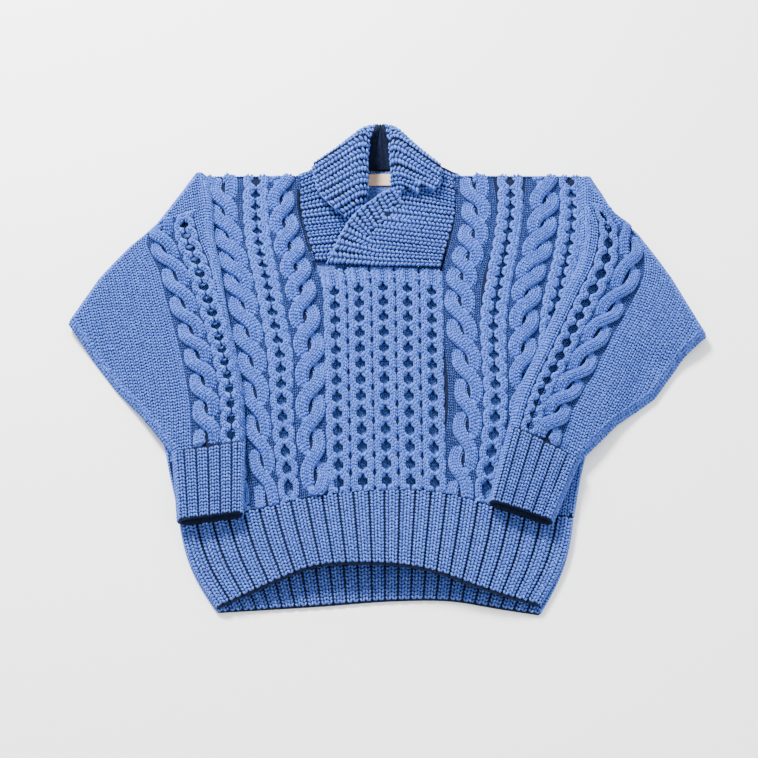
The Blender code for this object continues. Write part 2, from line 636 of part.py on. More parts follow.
def make_sleeve(side):
    """A sleeve's upper wall: a row of points at each end of every eyelet and one at the outer corner."""
    middles = [EYELET_PART_START + k * EYELET_PITCH for k in range(SLEEVE_EYELETS)]
    starts = [middle - EYELET_HALF_ROW * EYELET_PITCH for middle in middles]
    ends = [middle + EYELET_HALF_ROW * EYELET_PITCH for middle in middles]
    rows = sorted([SLEEVE_END_GAP, CORNER_PART, 1 - SLEEVE_END_GAP] + starts + ends)
    outer, inner, kinds = sleeve_surface(side, rows)
    keep = np.ones((len(rows) - 1, len(kinds) - 1), bool)
    for start in starts:
        keep[rows.index(start), kinds.index("eyelet")] = False
    inner_lines = [j for j, kind in enumerate(kinds) if kind not in CABLE_ACROSS]
    wall("sleeve_" + side, outer, inner, keep, inner_lines)


def make_shoulder_fold(side):
    """The strip of the back that the fold brings over the shoulder, above the armhole seam."""
    outer, inner, _ = sleeve_surface(side, [SHOULDER_FOLD_PART, -0.12, -0.07, -0.03, -SLEEVE_END_GAP], False)
    lines = [0, 2, 5, 9, 11, 13]
    wall("back_fold_" + side, outer[:, lines], inner[:, lines])


def make_sleeve_under(side):
    """The hidden lower layer of a folded sleeve, one sheet that lies on the body."""
    parts = (0.01, 0.07, 0.14, 0.21, 0.29, CORNER_PART, 0.44, 0.52, 0.62, 0.72, 0.82, 0.91, 0.99)
    outer = []
    inner = []
    for part in parts:
        width = float(np.linalg.norm(sleeve_edge(side, "outer", part) - sleeve_edge(side, "inner", part)))
        inset = WALL + UNDER_INSET[side]
        distances = np.linspace(inset, width - inset, 9)
        plan, floor = sleeve_floor(side, part, distances, width)
        inner.append(np.column_stack([plan, floor]))
        outer.append(np.column_stack([plan, floor + UNDER_WALL]))
    wall("sleeve_%s_under" % side, np.array(outer), np.array(inner))


def make_sleeve_root(side):
    """The unfolded start of a sleeve: two hidden layers as one rounded solid, grooved between them."""
    corners = [np.array(p, float) for p in root_outline(side)]
    middle = sum(corners) / len(corners)
    ring = np.array(corners)
    inward = middle - ring
    inward /= np.linalg.norm(inward, axis=1)[:, None]
    points = []
    for inset, z in ROOT_PROFILE:
        for p, direction in zip(ring, inward):
            points.append((*(p + direction * inset), z))
    count = len(ring)
    faces = [tuple(range(count))[::-1]]
    for level in range(len(ROOT_PROFILE) - 1):
        for k in range(count):
            after = (k + 1) % count
            faces.append((level * count + k, level * count + after, (level + 1) * count + after,
                          (level + 1) * count + k))
    top = (len(ROOT_PROFILE) - 1) * count
    faces.append(tuple(range(top, top + count)))
    new_object("sleeve_%s_root" % side, points, faces, YARN)


def make_cuff(side):
    """A ribbed tube, flattened, that goes on from the sleeve to its open mouth."""
    start = (sleeve_edge(side, "inner", 1.0), sleeve_edge(side, "outer", 1.0))
    end = tuple(np.array(p) for p in CUFF_END[side])
    drop = (end[0] - start[0]) / np.linalg.norm(end[0] - start[0]) * SEAM
    even = np.linspace(0.0, 1.0, CUFF_RIBS + 1)
    shares = even + EDGE_CROWDING * (0.5 - 0.5 * np.cos(np.pi * even) - even)
    stations = (0.0, 0.35, 0.7, 1.0)
    rings = []
    for layer in ("outer", "inner"):
        for along in stations:
            a = start[0] + drop + (end[0] - start[0]) * along
            b = start[1] + drop + (end[1] - start[1]) * along
            width = np.linalg.norm(b - a)
            height = CUFF_HEIGHT + (CUFF_MOUTH - CUFF_HEIGHT) * along
            inset = 0.0 if layer == "outer" else WALL
            ring = []
            for top in (True, False):
                order = shares[:-1] if top else shares[::-1][:-1]
                for k, share in enumerate(order):
                    distance = inset + share * (width - 2 * inset)
                    plan = a + (b - a) * distance / width
                    floor = float(floor_under_sleeve(plan[0], plan[1]))
                    bulk = round_off(np.array([distance - inset]), width - 2 * inset)[0]
                    middle = floor + 0.5 * height
                    reach = (0.5 * height - inset) * bulk
                    if layer == "outer" and top and k % 2 == 1:
                        reach += CUFF_RIB_RISE * bulk
                    ring.append((plan[0], plan[1], middle + (reach if top else -reach)))
            rings.append(ring)
    points = [p for ring in rings for p in ring]
    count = len(rings[0])
    levels = len(stations)
    faces = []
    for layer in range(2):
        for level in range(levels - 1):
            low = (layer * levels + level) * count
            for k in range(count):
                after = (k + 1) % count
                faces.append((low + k, low + after, low + count + after, low + count + k))
    for level in (0, levels - 1):
        outer_ring = level * count
        inner_ring = (levels + level) * count
        for k in range(count):
            after = (k + 1) % count
            faces.append((outer_ring + k, outer_ring + after, inner_ring + after, inner_ring + k))
    new_object("cuff_" + side, points, faces, YARN)


# ---------------------------------------------------------------- collar and label

def collar_line(row):
    """The middle of the collar's wall along one rib: seam, stand, turn, fall and edge."""
    named = dict(zip(COLLAR_NAMES, row))
    places = ("seam", "roll", "edge")
    seam, roll, edge = (np.array([named[place + "_" + axis] for axis in "xyz"]) for place in places)
    stand = (roll - seam) / np.linalg.norm(roll - seam)
    fall = (edge - roll) / np.linalg.norm(edge - roll)
    beside = np.array([-stand[1], stand[0], 0.0])
    over = named["over_side"] * beside + named["over_up"] * np.array([0.0, 0.0, 1.0])
    before = roll - COLLAR_TURN * stand - over
    after = roll + min(COLLAR_TURN, 0.4 * np.linalg.norm(edge - roll)) * fall + over
    knots = np.array([seam, 0.5 * (seam + before), before, roll, after, 0.5 * (after + edge), edge])
    return curve(np.arange(len(knots)), knots, np.array(COLLAR_ACROSS))


def collar_stations(count):
    """Places in the collar's table at even steps along its seam, turn and edge taken together."""
    table = np.array(COLLAR_TABLE)[:, :COLLAR_NAMES.index("over_side")]
    fine = np.linspace(0.0, len(table) - 1.0, COLLAR_SAMPLES)
    lines = curve(np.arange(len(table)), table, fine).reshape(-1, 3, 3)
    steps = np.linalg.norm(np.diff(lines, axis=0), axis=2).mean(axis=1)
    reach = np.concatenate([[0.0], np.cumsum(steps)])
    return np.interp(np.linspace(0.0, reach[-1], count + 1), reach, fine)


def make_collar():
    table = np.array(COLLAR_TABLE)
    count = 2 * COLLAR_RIBS
    rows = curve(np.arange(len(table)), table, collar_stations(count))
    middle = np.array([collar_line(row) for row in rows])
    along = np.gradient(middle, axis=0)
    across = np.gradient(middle, axis=1)
    normal = np.cross(across, along)
    normal /= np.linalg.norm(normal, axis=2)[:, :, None]
    ridge = (np.arange(count + 1) % 2)[:, None] * 0.5 * RIB_RISE
    thick = 0.5 * COLLAR_WALL
    face = middle + normal * (thick + ridge)[:, :, None]
    reverse = middle - normal * (thick + ridge)[:, :, None]
    wall("collar", face, reverse)


def make_label():
    """A small blank tab inside the back neck."""
    width, depth = LABEL_SIZE
    x, y = LABEL_PLACE
    shares = np.linspace(-0.5, 0.5, 5)
    low = np.array([[(x + s * width, y + d * depth, BACK_WALL + 0.04 + 0.06 * (1 - 4 * s * s)) for s in shares]
                    for d in (-0.5, 0.5)])
    top = low + np.array([0.0, 0.0, LABEL_THICKNESS])
    wall("neck_label", top, low, colour=TAB_CLOTH)


# ---------------------------------------------------------------- the whole

def clear_scene():
    for old in list(bpy.data.objects):
        bpy.data.objects.remove(old, do_unlink=True)


def centre_on_origin():
    """Moves every solid so that the origin is the bottom centre of the whole bounding box."""
    meshes = [made.data for made in bpy.context.scene.collection.objects]
    points = np.vstack([np.array([v.co[:] for v in mesh.vertices]) for mesh in meshes])
    low = points.min(axis=0)
    high = points.max(axis=0)
    shift = np.array([0.5 * (low[0] + high[0]), 0.5 * (low[1] + high[1]), low[2]])
    for mesh in meshes:
        for vertex in mesh.vertices:
            vertex.co = [c - s for c, s in zip(vertex.co, shift)]
        mesh.update()


def main():
    clear_scene()
    make_back()
    make_back_rib()
    make_front()
    make_front_rib()
    for side in ("left", "right"):
        make_sleeve_root(side)
        make_sleeve_under(side)
        make_sleeve(side)
        make_shoulder_fold(side)
        make_cuff(side)
    make_collar()
    make_label()
    centre_on_origin()


main()
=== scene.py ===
"""Dresses the laid sweater: knitted cloth with rope cables, eyelets, ribs and heathered wool.

Plan measures in the tables are centimetres: x to the right, y from the hem to the collar, z up.
"left" and "right" are as seen from above with the collar at the top.
"""

import math

import bmesh
import bpy
import numpy as np
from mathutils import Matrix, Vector


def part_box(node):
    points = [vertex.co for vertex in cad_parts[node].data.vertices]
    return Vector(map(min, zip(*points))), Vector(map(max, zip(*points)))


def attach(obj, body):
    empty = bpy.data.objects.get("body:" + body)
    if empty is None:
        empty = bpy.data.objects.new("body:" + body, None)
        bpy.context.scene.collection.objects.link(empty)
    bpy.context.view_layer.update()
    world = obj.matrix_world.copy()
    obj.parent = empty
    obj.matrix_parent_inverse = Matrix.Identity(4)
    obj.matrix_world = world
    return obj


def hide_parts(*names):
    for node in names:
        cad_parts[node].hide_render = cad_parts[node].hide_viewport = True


bl_info = {
    "name": "Shawl collar sweater",
    "version": (1, 0, 0),
    "blender": (4, 5, 0),
    "location": "3D View > Sidebar > Sweater",
    "description": "Builds the knitted cloth, cables, eyelets and ribs of a laid shawl collar sweater",
    "category": "Add Mesh",
}

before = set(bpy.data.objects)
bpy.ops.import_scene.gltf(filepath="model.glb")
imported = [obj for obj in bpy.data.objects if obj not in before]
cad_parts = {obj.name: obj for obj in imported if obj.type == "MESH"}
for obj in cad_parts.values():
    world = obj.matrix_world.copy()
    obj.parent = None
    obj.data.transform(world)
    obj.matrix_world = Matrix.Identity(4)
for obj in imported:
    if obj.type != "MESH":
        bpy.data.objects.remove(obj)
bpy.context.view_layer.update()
CM = 0.01

# ---------------------------------------------------------------- measures shared with the solids, cm

WALL = 0.42
BACK_WALL = 0.45
SEAM = 0.04
LAYER_GAP = 0.09
REST_LOFT = 0.06
BODY_LOFT = 0.25
HEM_LIFT = 2.3
HEM_LIFT_REACH = 8.0
CABLE_RISE = 0.60
EYELET_RIM = 0.24
RIB_RISE = 0.24
EYELET_ROWS = 23
NECK_ROW = 14
LACE_ROWS = 13
SLEEVE_EYELETS = 17
HEM_RIBS = 25
COLLAR_RIBS = 36

COLUMN_NAMES = (
    "height", "side_left", "outer_eyelet_left", "outer_cable_left", "eyelet_left", "inner_cable_left",
    "first_eyelet", "last_eyelet", "inner_cable_right", "eyelet_right", "outer_cable_right",
    "outer_eyelet_right", "side_right",
)
COLUMN_TABLE = (
    (-22.0, -25.1, -17.7, -13.9, -11.1, -7.7, -5.0, 7.1, 9.9, 13.2, 16.3, 19.7, 24.4),
    (-19.0, -25.8, -18.2, -14.3, -11.4, -7.9, -5.1, 7.2, 10.2, 13.6, 16.9, 20.2, 25.1),
    (-15.0, -26.9, -18.8, -14.9, -11.8, -8.2, -5.2, 7.2, 10.6, 14.1, 17.6, 21.0, 26.0),
    (-9.0, -28.4, -19.7, -15.8, -12.5, -9.0, -5.4, 7.2, 11.5, 15.1, 18.7, 22.2, 27.8),
    (-3.0, -30.2, -20.6, -16.5, -13.0, -9.1, -5.6, 7.2, 12.0, 15.6, 19.3, 22.8, 30.0),
    (3.0, -31.6, -21.6, -17.4, -13.4, -9.3, -5.8, 7.2, 11.8, 15.6, 19.5, 23.2, 31.8),
    (9.0, -32.3, -22.7, -18.4, -14.5, -10.2, -6.0, 7.3, 11.2, 15.8, 20.0, 23.9, 32.6),
    (15.0, -32.3, -24.0, -19.7, -15.7, -11.2, -6.4, 7.3, 11.5, 16.8, 20.9, 25.4, 33.0),
    (21.0, -31.9, -25.4, -21.2, -17.0, -12.8, -8.2, 7.2, 13.1, 18.0, 22.6, 26.9, 33.4),
    (27.0, -30.0, -26.2, -22.4, -17.7, -14.0, -9.4, 8.7, 14.0, 18.9, 23.7, 27.8, 33.2),
    (33.0, -26.9, -25.2, -22.6, -17.9, -14.2, -9.2, 8.7, 13.7, 19.1, 24.2, 27.8, 30.6),
)
HEIGHTS = [row[0] for row in COLUMN_TABLE]
COLUMNS = {name: [row[i] for row in COLUMN_TABLE] for i, name in enumerate(COLUMN_NAMES)}

BODY_MIDDLE = 0.9
SIDE_REACH = 17.0
ROW_TABLE = (
    # row, middle, side
    (-0.85, -17.1, -19.3),
    (0.0, -15.7, -16.6),
    (6.0, -0.7, -1.5),
    (12.0, 13.8, 11.9),
    (17.0, 23.4, 21.1),
    (22.5, 33.2, 32.6),
)
FIRST_ROW = -0.85
LAST_ROW = 22.5

FRONT_RIB_TOP = ((-25.3, -21.3), (-14.4, -19.3), (-8.8, -18.0), (0.0, -17.1), (6.0, -17.1), (11.1, -18.0),
                 (14.6, -19.2), (24.7, -20.6))
FRONT_HEM = ((-19.9, -32.6), (-15.7, -30.9), (-12.1, -29.4), (-9.2, -28.3), (-1.6, -27.7), (4.0, -28.1),
             (7.7, -28.9), (11.5, -30.2), (15.2, -31.3), (19.8, -32.3))
BACK_HEM = ((-19.9, -32.9), (-7.3, -32.1), (2.1, -31.4), (8.7, -31.4), (15.4, -32.5), (19.8, -33.2))
HEM_HALF = 19.8
HEM_BULGE = 0.9
SHOULDER_HEIGHT = 32.8
BACK_NECK_HEIGHT = 34.2
BACK_NECK_HALF = 11.0
NECK_RAMP = 2.0

SLEEVE_NAMES = ("part", "inner_x", "inner_y", "outer_x", "outer_y", "eyelet", "cable", "plain")
SLEEVE_TABLE = {
    "left": (
        (-0.17, -24.9, 32.2, -26.6, 32.9, 0.6, 1.0, 1.3),
        (-0.08, -24.3, 29.2, -29.3, 28.2, 2.0, 3.6, 4.5),
        (0.00, -23.8, 26.1, -31.9, 23.7, 3.8, 6.4, 7.6),
        (0.12, -23.4, 21.6, -35.3, 20.3, 3.7, 7.3, 9.2),
        (0.25, -22.3, 16.8, -39.2, 14.8, 3.0, 6.4, 8.3),
        (0.37, -21.5, 12.4, -42.6, 8.0, 2.4, 5.8, 7.7),
        (0.50, -20.5, 7.6, -38.9, 2.8, 1.8, 5.2, 7.2),
        (0.65, -19.3, 2.6, -35.3, -1.9, 1.6, 5.0, 7.0),
        (0.80, -18.2, -2.8, -31.4, -6.2, 1.5, 4.9, 6.9),
        (1.00, -17.5, -10.9, -26.8, -12.0, 1.6, 4.8, 6.7),
    ),
    "right": (
        (-0.17, 29.1, 31.8, 30.7, 32.4, 0.6, 1.0, 1.3),
        (-0.08, 29.1, 29.8, 31.9, 29.4, 1.2, 2.1, 2.6),
        (0.00, 29.0, 27.5, 33.8, 25.9, 2.2, 3.7, 4.5),
        (0.12, 28.8, 22.9, 37.0, 22.4, 3.6, 6.3, 7.5),
        (0.25, 27.9, 17.4, 40.9, 15.0, 3.6, 7.0, 9.0),
        (0.37, 25.7, 12.6, 44.7, 6.0, 3.4, 6.8, 8.9),
        (0.50, 23.4, 7.6, 41.3, 2.9, 3.3, 6.5, 8.5),
        (0.65, 20.9, 2.0, 36.9, -3.1, 3.1, 6.2, 8.1),
        (0.80, 18.6, -2.8, 31.6, -7.1, 3.0, 5.8, 7.6),
        (1.00, 17.0, -8.6, 25.9, -13.1, 2.6, 5.1, 6.9),
    ),
}
SLEEVES = {side: {name: [row[i] for row in rows] for i, name in enumerate(SLEEVE_NAMES)}
           for side, rows in SLEEVE_TABLE.items()}
SHOULDER_FOLD_PART = -0.17
CORNER_PART = 0.37
SLEEVE_LOFT = 0.75
EDGE_ROUND = 1.3
SLEEVE_END_GAP = 0.0005
EYELET_PART_START = 0.06
EYELET_PART_END = 0.965
EYELET_PITCH = (EYELET_PART_END - EYELET_PART_START) / (SLEEVE_EYELETS - 1)
ROOT_HEIGHT = 0.90
ROOT_INSET = (1.0, 0.6)
ROOT_PROFILE = ((0.25, 0.0), (0.0, 0.15), (0.0, 0.32), (0.14, 0.45), (0.0, 0.58), (0.0, 0.76), (0.3, 0.85))
UNDER_INSET = {"left": 0.7, "right": 0.85}
UNDER_WALL = 0.38
ROOT_GAP = 0.05
UNDERARM_HEIGHT = 6.0
DRAPE_REACH = 5.0

CUFF_END = {"left": ((-17.2, -20.8), (-25.4, -21.8)), "right": ((14.0, -19.4), (21.9, -21.9))}
CUFF_HEIGHT = 1.9
CUFF_MOUTH = 2.3
CUFF_RIBS_SEEN = 6

COLLAR_NAMES = ("seam_x", "seam_y", "seam_z", "roll_x", "roll_y", "roll_z", "edge_x", "edge_y", "edge_z",
                "over_side", "over_up")
COLLAR_TABLE = (
    (-8.9, 18.3, 0.85, -1.5, 18.3, 0.85, 5.8, 18.2, 0.85, 0.0, 0.0),
    (-10.0, 21.6, 0.90, -2.2, 22.6, 0.90, 4.0, 23.0, 0.95, 0.0, 0.0),
    (-10.8, 24.6, 0.90, -2.4, 25.6, 1.45, -3.2, 24.6, 1.75, 0.0, 0.3),
    (-11.3, 27.3, 0.90, -2.0, 28.6, 3.20, -6.4, 26.2, 2.90, 0.0, 0.7),
    (-11.4, 29.6, 0.90, -2.0, 31.6, 4.00, -8.5, 28.9, 2.80, 0.0, 0.8),
    (-11.3, 31.6, 0.85, -2.0, 34.6, 4.20, -9.1, 31.2, 2.70, 0.1, 0.8),
    (-11.1, 33.3, 0.70, -1.7, 37.4, 4.10, -9.4, 33.6, 2.50, 0.5, 0.6),
    (-7.4, 34.36, 0.45, -1.1, 39.3, 3.60, -7.9, 34.9, 1.10, 0.8, 0.0),
    (-3.8, 34.36, 0.40, -0.5, 40.3, 3.00, -4.6, 36.0, 0.45, 0.5, -0.6),
    (0.2, 34.36, 0.40, 0.2, 40.7, 2.60, 0.2, 36.4, 0.40, 0.0, -0.8),
    (4.2, 34.36, 0.40, 0.9, 40.3, 3.00, 4.9, 36.0, 0.45, -0.5, -0.6),
    (7.6, 34.36, 0.45, 1.4, 39.3, 3.60, 7.6, 34.9, 1.10, -0.8, 0.0),
    (10.9, 33.5, 0.70, 1.8, 37.2, 4.10, 8.8, 33.4, 2.50, -0.5, 0.6),
    (10.8, 31.6, 0.85, 2.0, 34.2, 4.20, 8.7, 31.2, 2.70, -0.1, 0.8),
    (11.0, 29.8, 0.90, 2.1, 31.2, 4.10, 8.2, 29.7, 2.85, 0.0, 0.8),
    (11.0, 28.2, 0.90, 2.2, 29.2, 3.60, 4.6, 29.0, 3.55, 0.0, 0.5),
    (10.9, 26.6, 0.90, 2.9, 26.7, 2.72, 1.6, 28.6, 3.70, 0.0, 0.0),
    (10.5, 24.2, 0.90, 0.9, 24.4, 2.66, -0.6, 27.0, 3.70, 0.0, 0.0),
    (9.6, 20.8, 1.00, -1.4, 21.6, 2.26, -4.0, 23.8, 3.20, 0.0, 0.0),
    (8.6, 16.6, 1.75, 0.5, 16.8, 1.80, -7.3, 17.2, 1.80, 0.0, 0.0),
)
COLLAR_SAMPLES = 600
COLLAR_TURN = 0.9
COLLAR_WALL = 0.44
COLLAR_ACROSS_END = 6.0

LABEL_SIZE = (4.3, 2.1)
LABEL_PLACE = (0.2, 32.6)
LABEL_THICKNESS = 0.09

# ---------------------------------------------------------------- more of the surfaces' measures, cm

SIDES = (("left", -1.0), ("right", 1.0))
SMALL_STEP = 0.05
LEVELLING_ROW = 21.5
HEM_CORNER_HEIGHT = -32.9
HEM_DRAW_IN = 0.8
RIB_HEIGHTS = (-33.0, -27.0, -21.0)

# Start of a sleeve: parts down the sleeve of its two upper corners, and how far in the corners are
ROOT_PARTS = (0.04, 0.20)
ROOT_TOP_GAP = 1.5
ROOT_SIDE_POINTS = 8
ROOT_SIDE_STEPS = 6
ROOT_CORNER_INSET = (1.6, 0.3)

# Over what distance a sleeve climbs onto the raised knitting that it lies on
EYELET_RAMP_START = 2.4
EYELET_RAMP = 1.2
CABLE_RAMP = 1.5
RIB_RAMP = 1.0
FULL_LOFT_WIDTH = 12.0
EDGE_LOFT = 0.35
COVER_INSET = 0.10

# The collar's seam on the front: the table's rows on each side, and the wall's reach beyond it
LEFT_SEAM_ROWS = 7
RIGHT_SEAM_ROW = 11
SEAM_GROOVE = 0.12
SEAM_REACH = 10.5
COLLAR_TURN_SHARE = 0.4
COLLAR_STEPS = 6
COLLAR_ACROSS_POINTS = 61
COLLAR_RELIEF = (0.28, 0.13)
COLLAR_COVER = 0.92
COLLAR_PLUMP = 1.5
# Collar rows inside the neck, and the steps across the stand from its seam, left without stitches so the dark
# cloth paints the shade in the neck slot
NECK_STATIONS = (6.2, 12.0)
STAND_STEPS = 27
CORD_SIDES = 7
CORD_HALF = 0.20

# ---------------------------------------------------------------- raised knitting, cm

# Eyelet columns: share of the room between neighbours, then drawn in and notched between the holes
EYELET_LENGTH = 0.38
HOLE_LINES = (-1.0, -0.7, 0.0, 0.7, 1.0)
HOLE_SHARE = 0.42
NARROWEST_HOLE = 0.20
SHORTEST_ROW = 1.5
EYELET_SHARE = 0.45
WIDEST_EYELET_COLUMN = 1.9
SCALLOP_REACH = 0.30
NARROWEST_CUT = 0.10
NARROWEST_SLEEVE_CUT = 0.08
STRIP_SHARE = 0.97
LINE_GAP = 0.004
ROW_STEP = 0.1
LACE_END = NECK_ROW - 0.15
NOTCH_REACH = 0.16
LACE_COLUMNS = 5
LACE_SHARE = 0.488
FIRST_LACE = "lace_0"
LAST_LACE = "lace_4"
# scallop, notch
LACE_SHAPE = (0.0, 0.32)
BAND_SHAPE = (0.12, 0.40)
SLEEVE_BAND_SHAPE = (0.16, 0.0)

# The two bands of an eyelet column, and the stitches that bridge them between the holes
BAND_BASE = 0.02
BAND_RISE = 0.36
BAND_SIDES = 8
BAND_PARTING = 0.03
BAND_STITCHES = (-0.46, 0.46)
BAND_LEAN = 0.7
BAND_STITCH_WIDTH = 0.30
BAND_STITCH_SHARE = 0.42
BRIDGE_HEIGHT = BAND_BASE + 0.80 * BAND_RISE
BRIDGE_WIDTH = 0.50
BRIDGE_SHIFT = 0.17

# Rope cables
CABLE_LEANS = {"outer_cable_left": -1.0, "inner_cable_left": 1.0, "inner_cable_right": -1.0,
               "outer_cable_right": 1.0}
SLEEVE_LEAN = -1.0
CABLE_SHARE = 0.55
WIDEST_CABLE = 2.2
CABLE_STRAND = 0.45
LOBE_ROWS = 2.0
ROPE_BASE = -0.10
ROPE_RISE = 0.88
ROPE_BODY = 0.60
ROPE_SIDES = 10
ROPE_STITCHES = (-0.62, 0.0, 0.62)
ROPE_LEAN = 0.9
ROPE_HIDDEN = -0.8
ROPE_STITCH_SHARE = 0.70
ROPE_SWING = 0.25
ROPE_PHASE = 0.25
ROPE_TOP_GAP = 0.04
ROPE_TOP_TAPER = 0.3
ROPE_FOOT_TAPER = 0.2
ROPE_FOOT_START = 0.3
ROPE_TIP = 0.1

# Plain and purl stitches, and the stitches along folds and side faces
PLAIN_COVER = 1.14
FRONT_PLAIN_RISE = 0.05
FRONT_PLAIN_START = 1.15
FRONT_PLAIN_END = 0.2
SLEEVE_RISE = 0.03
PLUMP = 1.2
EDGE_INSETS = (0.07, 0.36, 0.80)
RIM_DEPTHS = (-0.06, -0.25)
SHOULDER_EDGE = (-0.02, -0.26)
CUFF_SIDE_RIBS = (0.03, 0.13, 0.27)
PURL_PLACES = (-1.0, -0.5, 0.0, 0.5)
PURL_RISE = -0.02
PURL_WIDTH = 0.52
PURL_STEP = 0.40
PURL_PLUMP = 0.8

# Ribs: where their cloth is cut across one rib, their two columns of stitches and how those lean
RIB_STEPS = (0.0, 0.07, 0.2, 0.5, 0.8, 0.93)
RIB_STITCHES = ((0.27, -0.35), (0.73, 0.35))
RIB_COVER = 0.96
CUFF_RELIEF = (0.26, 0.08)
CUFF_UNDER_SHARE = 0.3

# The cloth lies a little below its stitches, lower still at the front's sides
CLOTH_DROP = 0.04
EDGE_DROP = 0.16
INNER_FACE = -WALL + 0.02
UNEVENNESS = 0.12

# Wool: size of its flecks in metres, and how much darker the cloth below the stitches and the purl ground
# beside the cables are coloured, as painted shade of their recesses
FLECK_SIZE = 0.0026
UNDER_SHADE = 0.05
# PURL_SHADE: painted shade of the purl ground's recess beside the cables
PURL_SHADE = 0.45

# Stage, in metres: name, place, size and power of each light
FLOOR_HALF = 6.0
FLOOR_HEIGHT = -0.0005
SKY_COLOUR = (0.95, 0.97, 1.0, 1.0)
SKY_STRENGTH = 1.60
LIGHTS = (("key", (-0.9, 1.5, 1.9), 0.6, 235.0), ("fill", (1.2, -0.8, 2.0), 1.8, 13.0))


# ---------------------------------------------------------------- what a user may change

class SweaterKnitting(bpy.types.PropertyGroup):
    """Sizes of the knitting."""

    stitch_width: bpy.props.FloatProperty(
        name="Stitch width", description="Width of one column of stitches", default=0.0064, unit="LENGTH")
    course: bpy.props.FloatProperty(
        name="Course height", description="Length of knitting that one row of stitches adds", default=0.0047,
        unit="LENGTH")
    yarn_rise: bpy.props.FloatProperty(
        name="Yarn rise", description="How far the stitches stand above the cloth", default=0.0021,
        unit="LENGTH")
    collar_course: bpy.props.FloatProperty(
        name="Collar course", description="Length of one row of the collar's larger stitches", default=0.0056,
        unit="LENGTH")
    eyelet_width: bpy.props.FloatProperty(
        name="Eyelet width", description="Width of an eyelet hole", default=0.0134, unit="LENGTH")


class SweaterWool(bpy.types.PropertyGroup):
    """Colours of the yarn and of the neck tab."""

    shade: bpy.props.FloatVectorProperty(
        name="Dark fibre", description="Darkest fibre of the heathered yarn", subtype="COLOR",
        default=(0.030, 0.068, 0.300))
    main: bpy.props.FloatVectorProperty(
        name="Main fibre", description="Main colour of the heathered yarn", subtype="COLOR",
        default=(0.064, 0.128, 0.490))
    fleck: bpy.props.FloatVectorProperty(
        name="Light fibre", description="Light flecks of the heathered yarn", subtype="COLOR",
        default=(0.118, 0.218, 0.680))
    tab: bpy.props.FloatVectorProperty(
        name="Neck tab", description="Colour of the woven neck tab", subtype="COLOR",
        default=(0.66, 0.46, 0.33))


class SweaterStage(bpy.types.PropertyGroup):
    """Camera and light."""

    camera_height: bpy.props.FloatProperty(
        name="Camera elevation", description="Angle of the camera above the floor", subtype="ANGLE",
        default=math.radians(62.0))
    camera_distance: bpy.props.FloatProperty(
        name="Camera distance", description="Distance from the camera to the sweater", default=1.86,
        unit="LENGTH")
    lens: bpy.props.FloatProperty(
        name="Lens", description="Focal length for a 36 mm sensor", default=65.3, unit="CAMERA")
    floor: bpy.props.FloatVectorProperty(
        name="Floor", description="Colour of the floor", subtype="COLOR", default=(0.93, 0.93, 0.93))


# ---------------------------------------------------------------- curves and heights

def curve(places, values, at):
    """A smooth curve through the values at the given places, read at `at` and held at its ends."""
    places = np.asarray(places, float)
    values = np.asarray(values, float)
    at = np.clip(np.asarray(at, float), places[0], places[-1])
    slopes = np.gradient(values, places, axis=0)
    index = np.clip(np.searchsorted(places, at) - 1, 0, len(places) - 2)
    width = places[index + 1] - places[index]
    t = (at - places[index]) / width
    if values.ndim > 1:
        width = width[..., None]
        t = t[..., None]
    rise_in = (2 * t**3 - 3 * t**2 + 1) * values[index] + (t**3 - 2 * t**2 + t) * width * slopes[index]
    rise_out = (3 * t**2 - 2 * t**3) * values[index + 1] + (t**3 - t**2) * width * slopes[index + 1]
    return rise_in + rise_out


def line(points, x):
    return curve([p[0] for p in points], [p[1] for p in points], x)


def ease(t):
    t = np.clip(t, 0.0, 1.0)
    return t * t * (3 - 2 * t)


def column(name, y):
    return curve(HEIGHTS, COLUMNS[name], y)


def row_height(row, x):
    """The height y of an eyelet row at x; the lowest row follows the rib and the highest the shoulder."""
    rows, middle, side = zip(*ROW_TABLE)
    spread = ease(np.abs(x - BODY_MIDDLE) / SIDE_REACH)
    y = np.interp(row, rows, middle) * (1 - spread) + np.interp(row, rows, side) * spread
    low = np.clip(np.asarray(row) / FIRST_ROW, 0.0, 1.0)
    y = y * (1 - low) + (line(FRONT_RIB_TOP, x) + SEAM) * low
    high = np.clip((np.asarray(row) - LEVELLING_ROW) / (LAST_ROW - LEVELLING_ROW), 0.0, 1.0)
    return y * (1 - high) + SHOULDER_HEIGHT * high


def front_underside(x, y):
    """The height z of the front's inner face: just above the back, lifted in an arch at the hem."""
    across = np.clip(np.abs(x / HEM_HALF), 0.0, 1.0)
    from_hem = np.maximum(y - line(FRONT_HEM, x), 0.0)
    arch = HEM_LIFT * (1 - across**2) * np.exp(-((from_hem / HEM_LIFT_REACH) ** 2))
    half = 0.5 * (column("side_right", y) - column("side_left", y))
    puff = BODY_LOFT * (1 - np.clip(np.abs(x - BODY_MIDDLE) / half, 0.0, 1.0) ** 2)
    return BACK_WALL + REST_LOFT + arch + puff


def distance_outside(x, y, polygon):
    """How far each plan point lies outside a polygon, 0 inside it."""
    corners = np.asarray(polygon, float)
    nearest = np.full(np.shape(x), np.inf)
    inside = np.zeros(np.shape(x), bool)
    for (ax, ay), (bx, by) in zip(corners, np.roll(corners, -1, axis=0)):
        t = ((x - ax) * (bx - ax) + (y - ay) * (by - ay)) / ((bx - ax) ** 2 + (by - ay) ** 2)
        t = np.clip(t, 0, 1)
        nearest = np.minimum(nearest, np.hypot(x - ax - t * (bx - ax), y - ay - t * (by - ay)))
        if ay != by:
            inside ^= ((ay > y) != (by > y)) & (x < (bx - ax) * (y - ay) / (by - ay) + ax)
    return np.where(inside, 0.0, nearest)


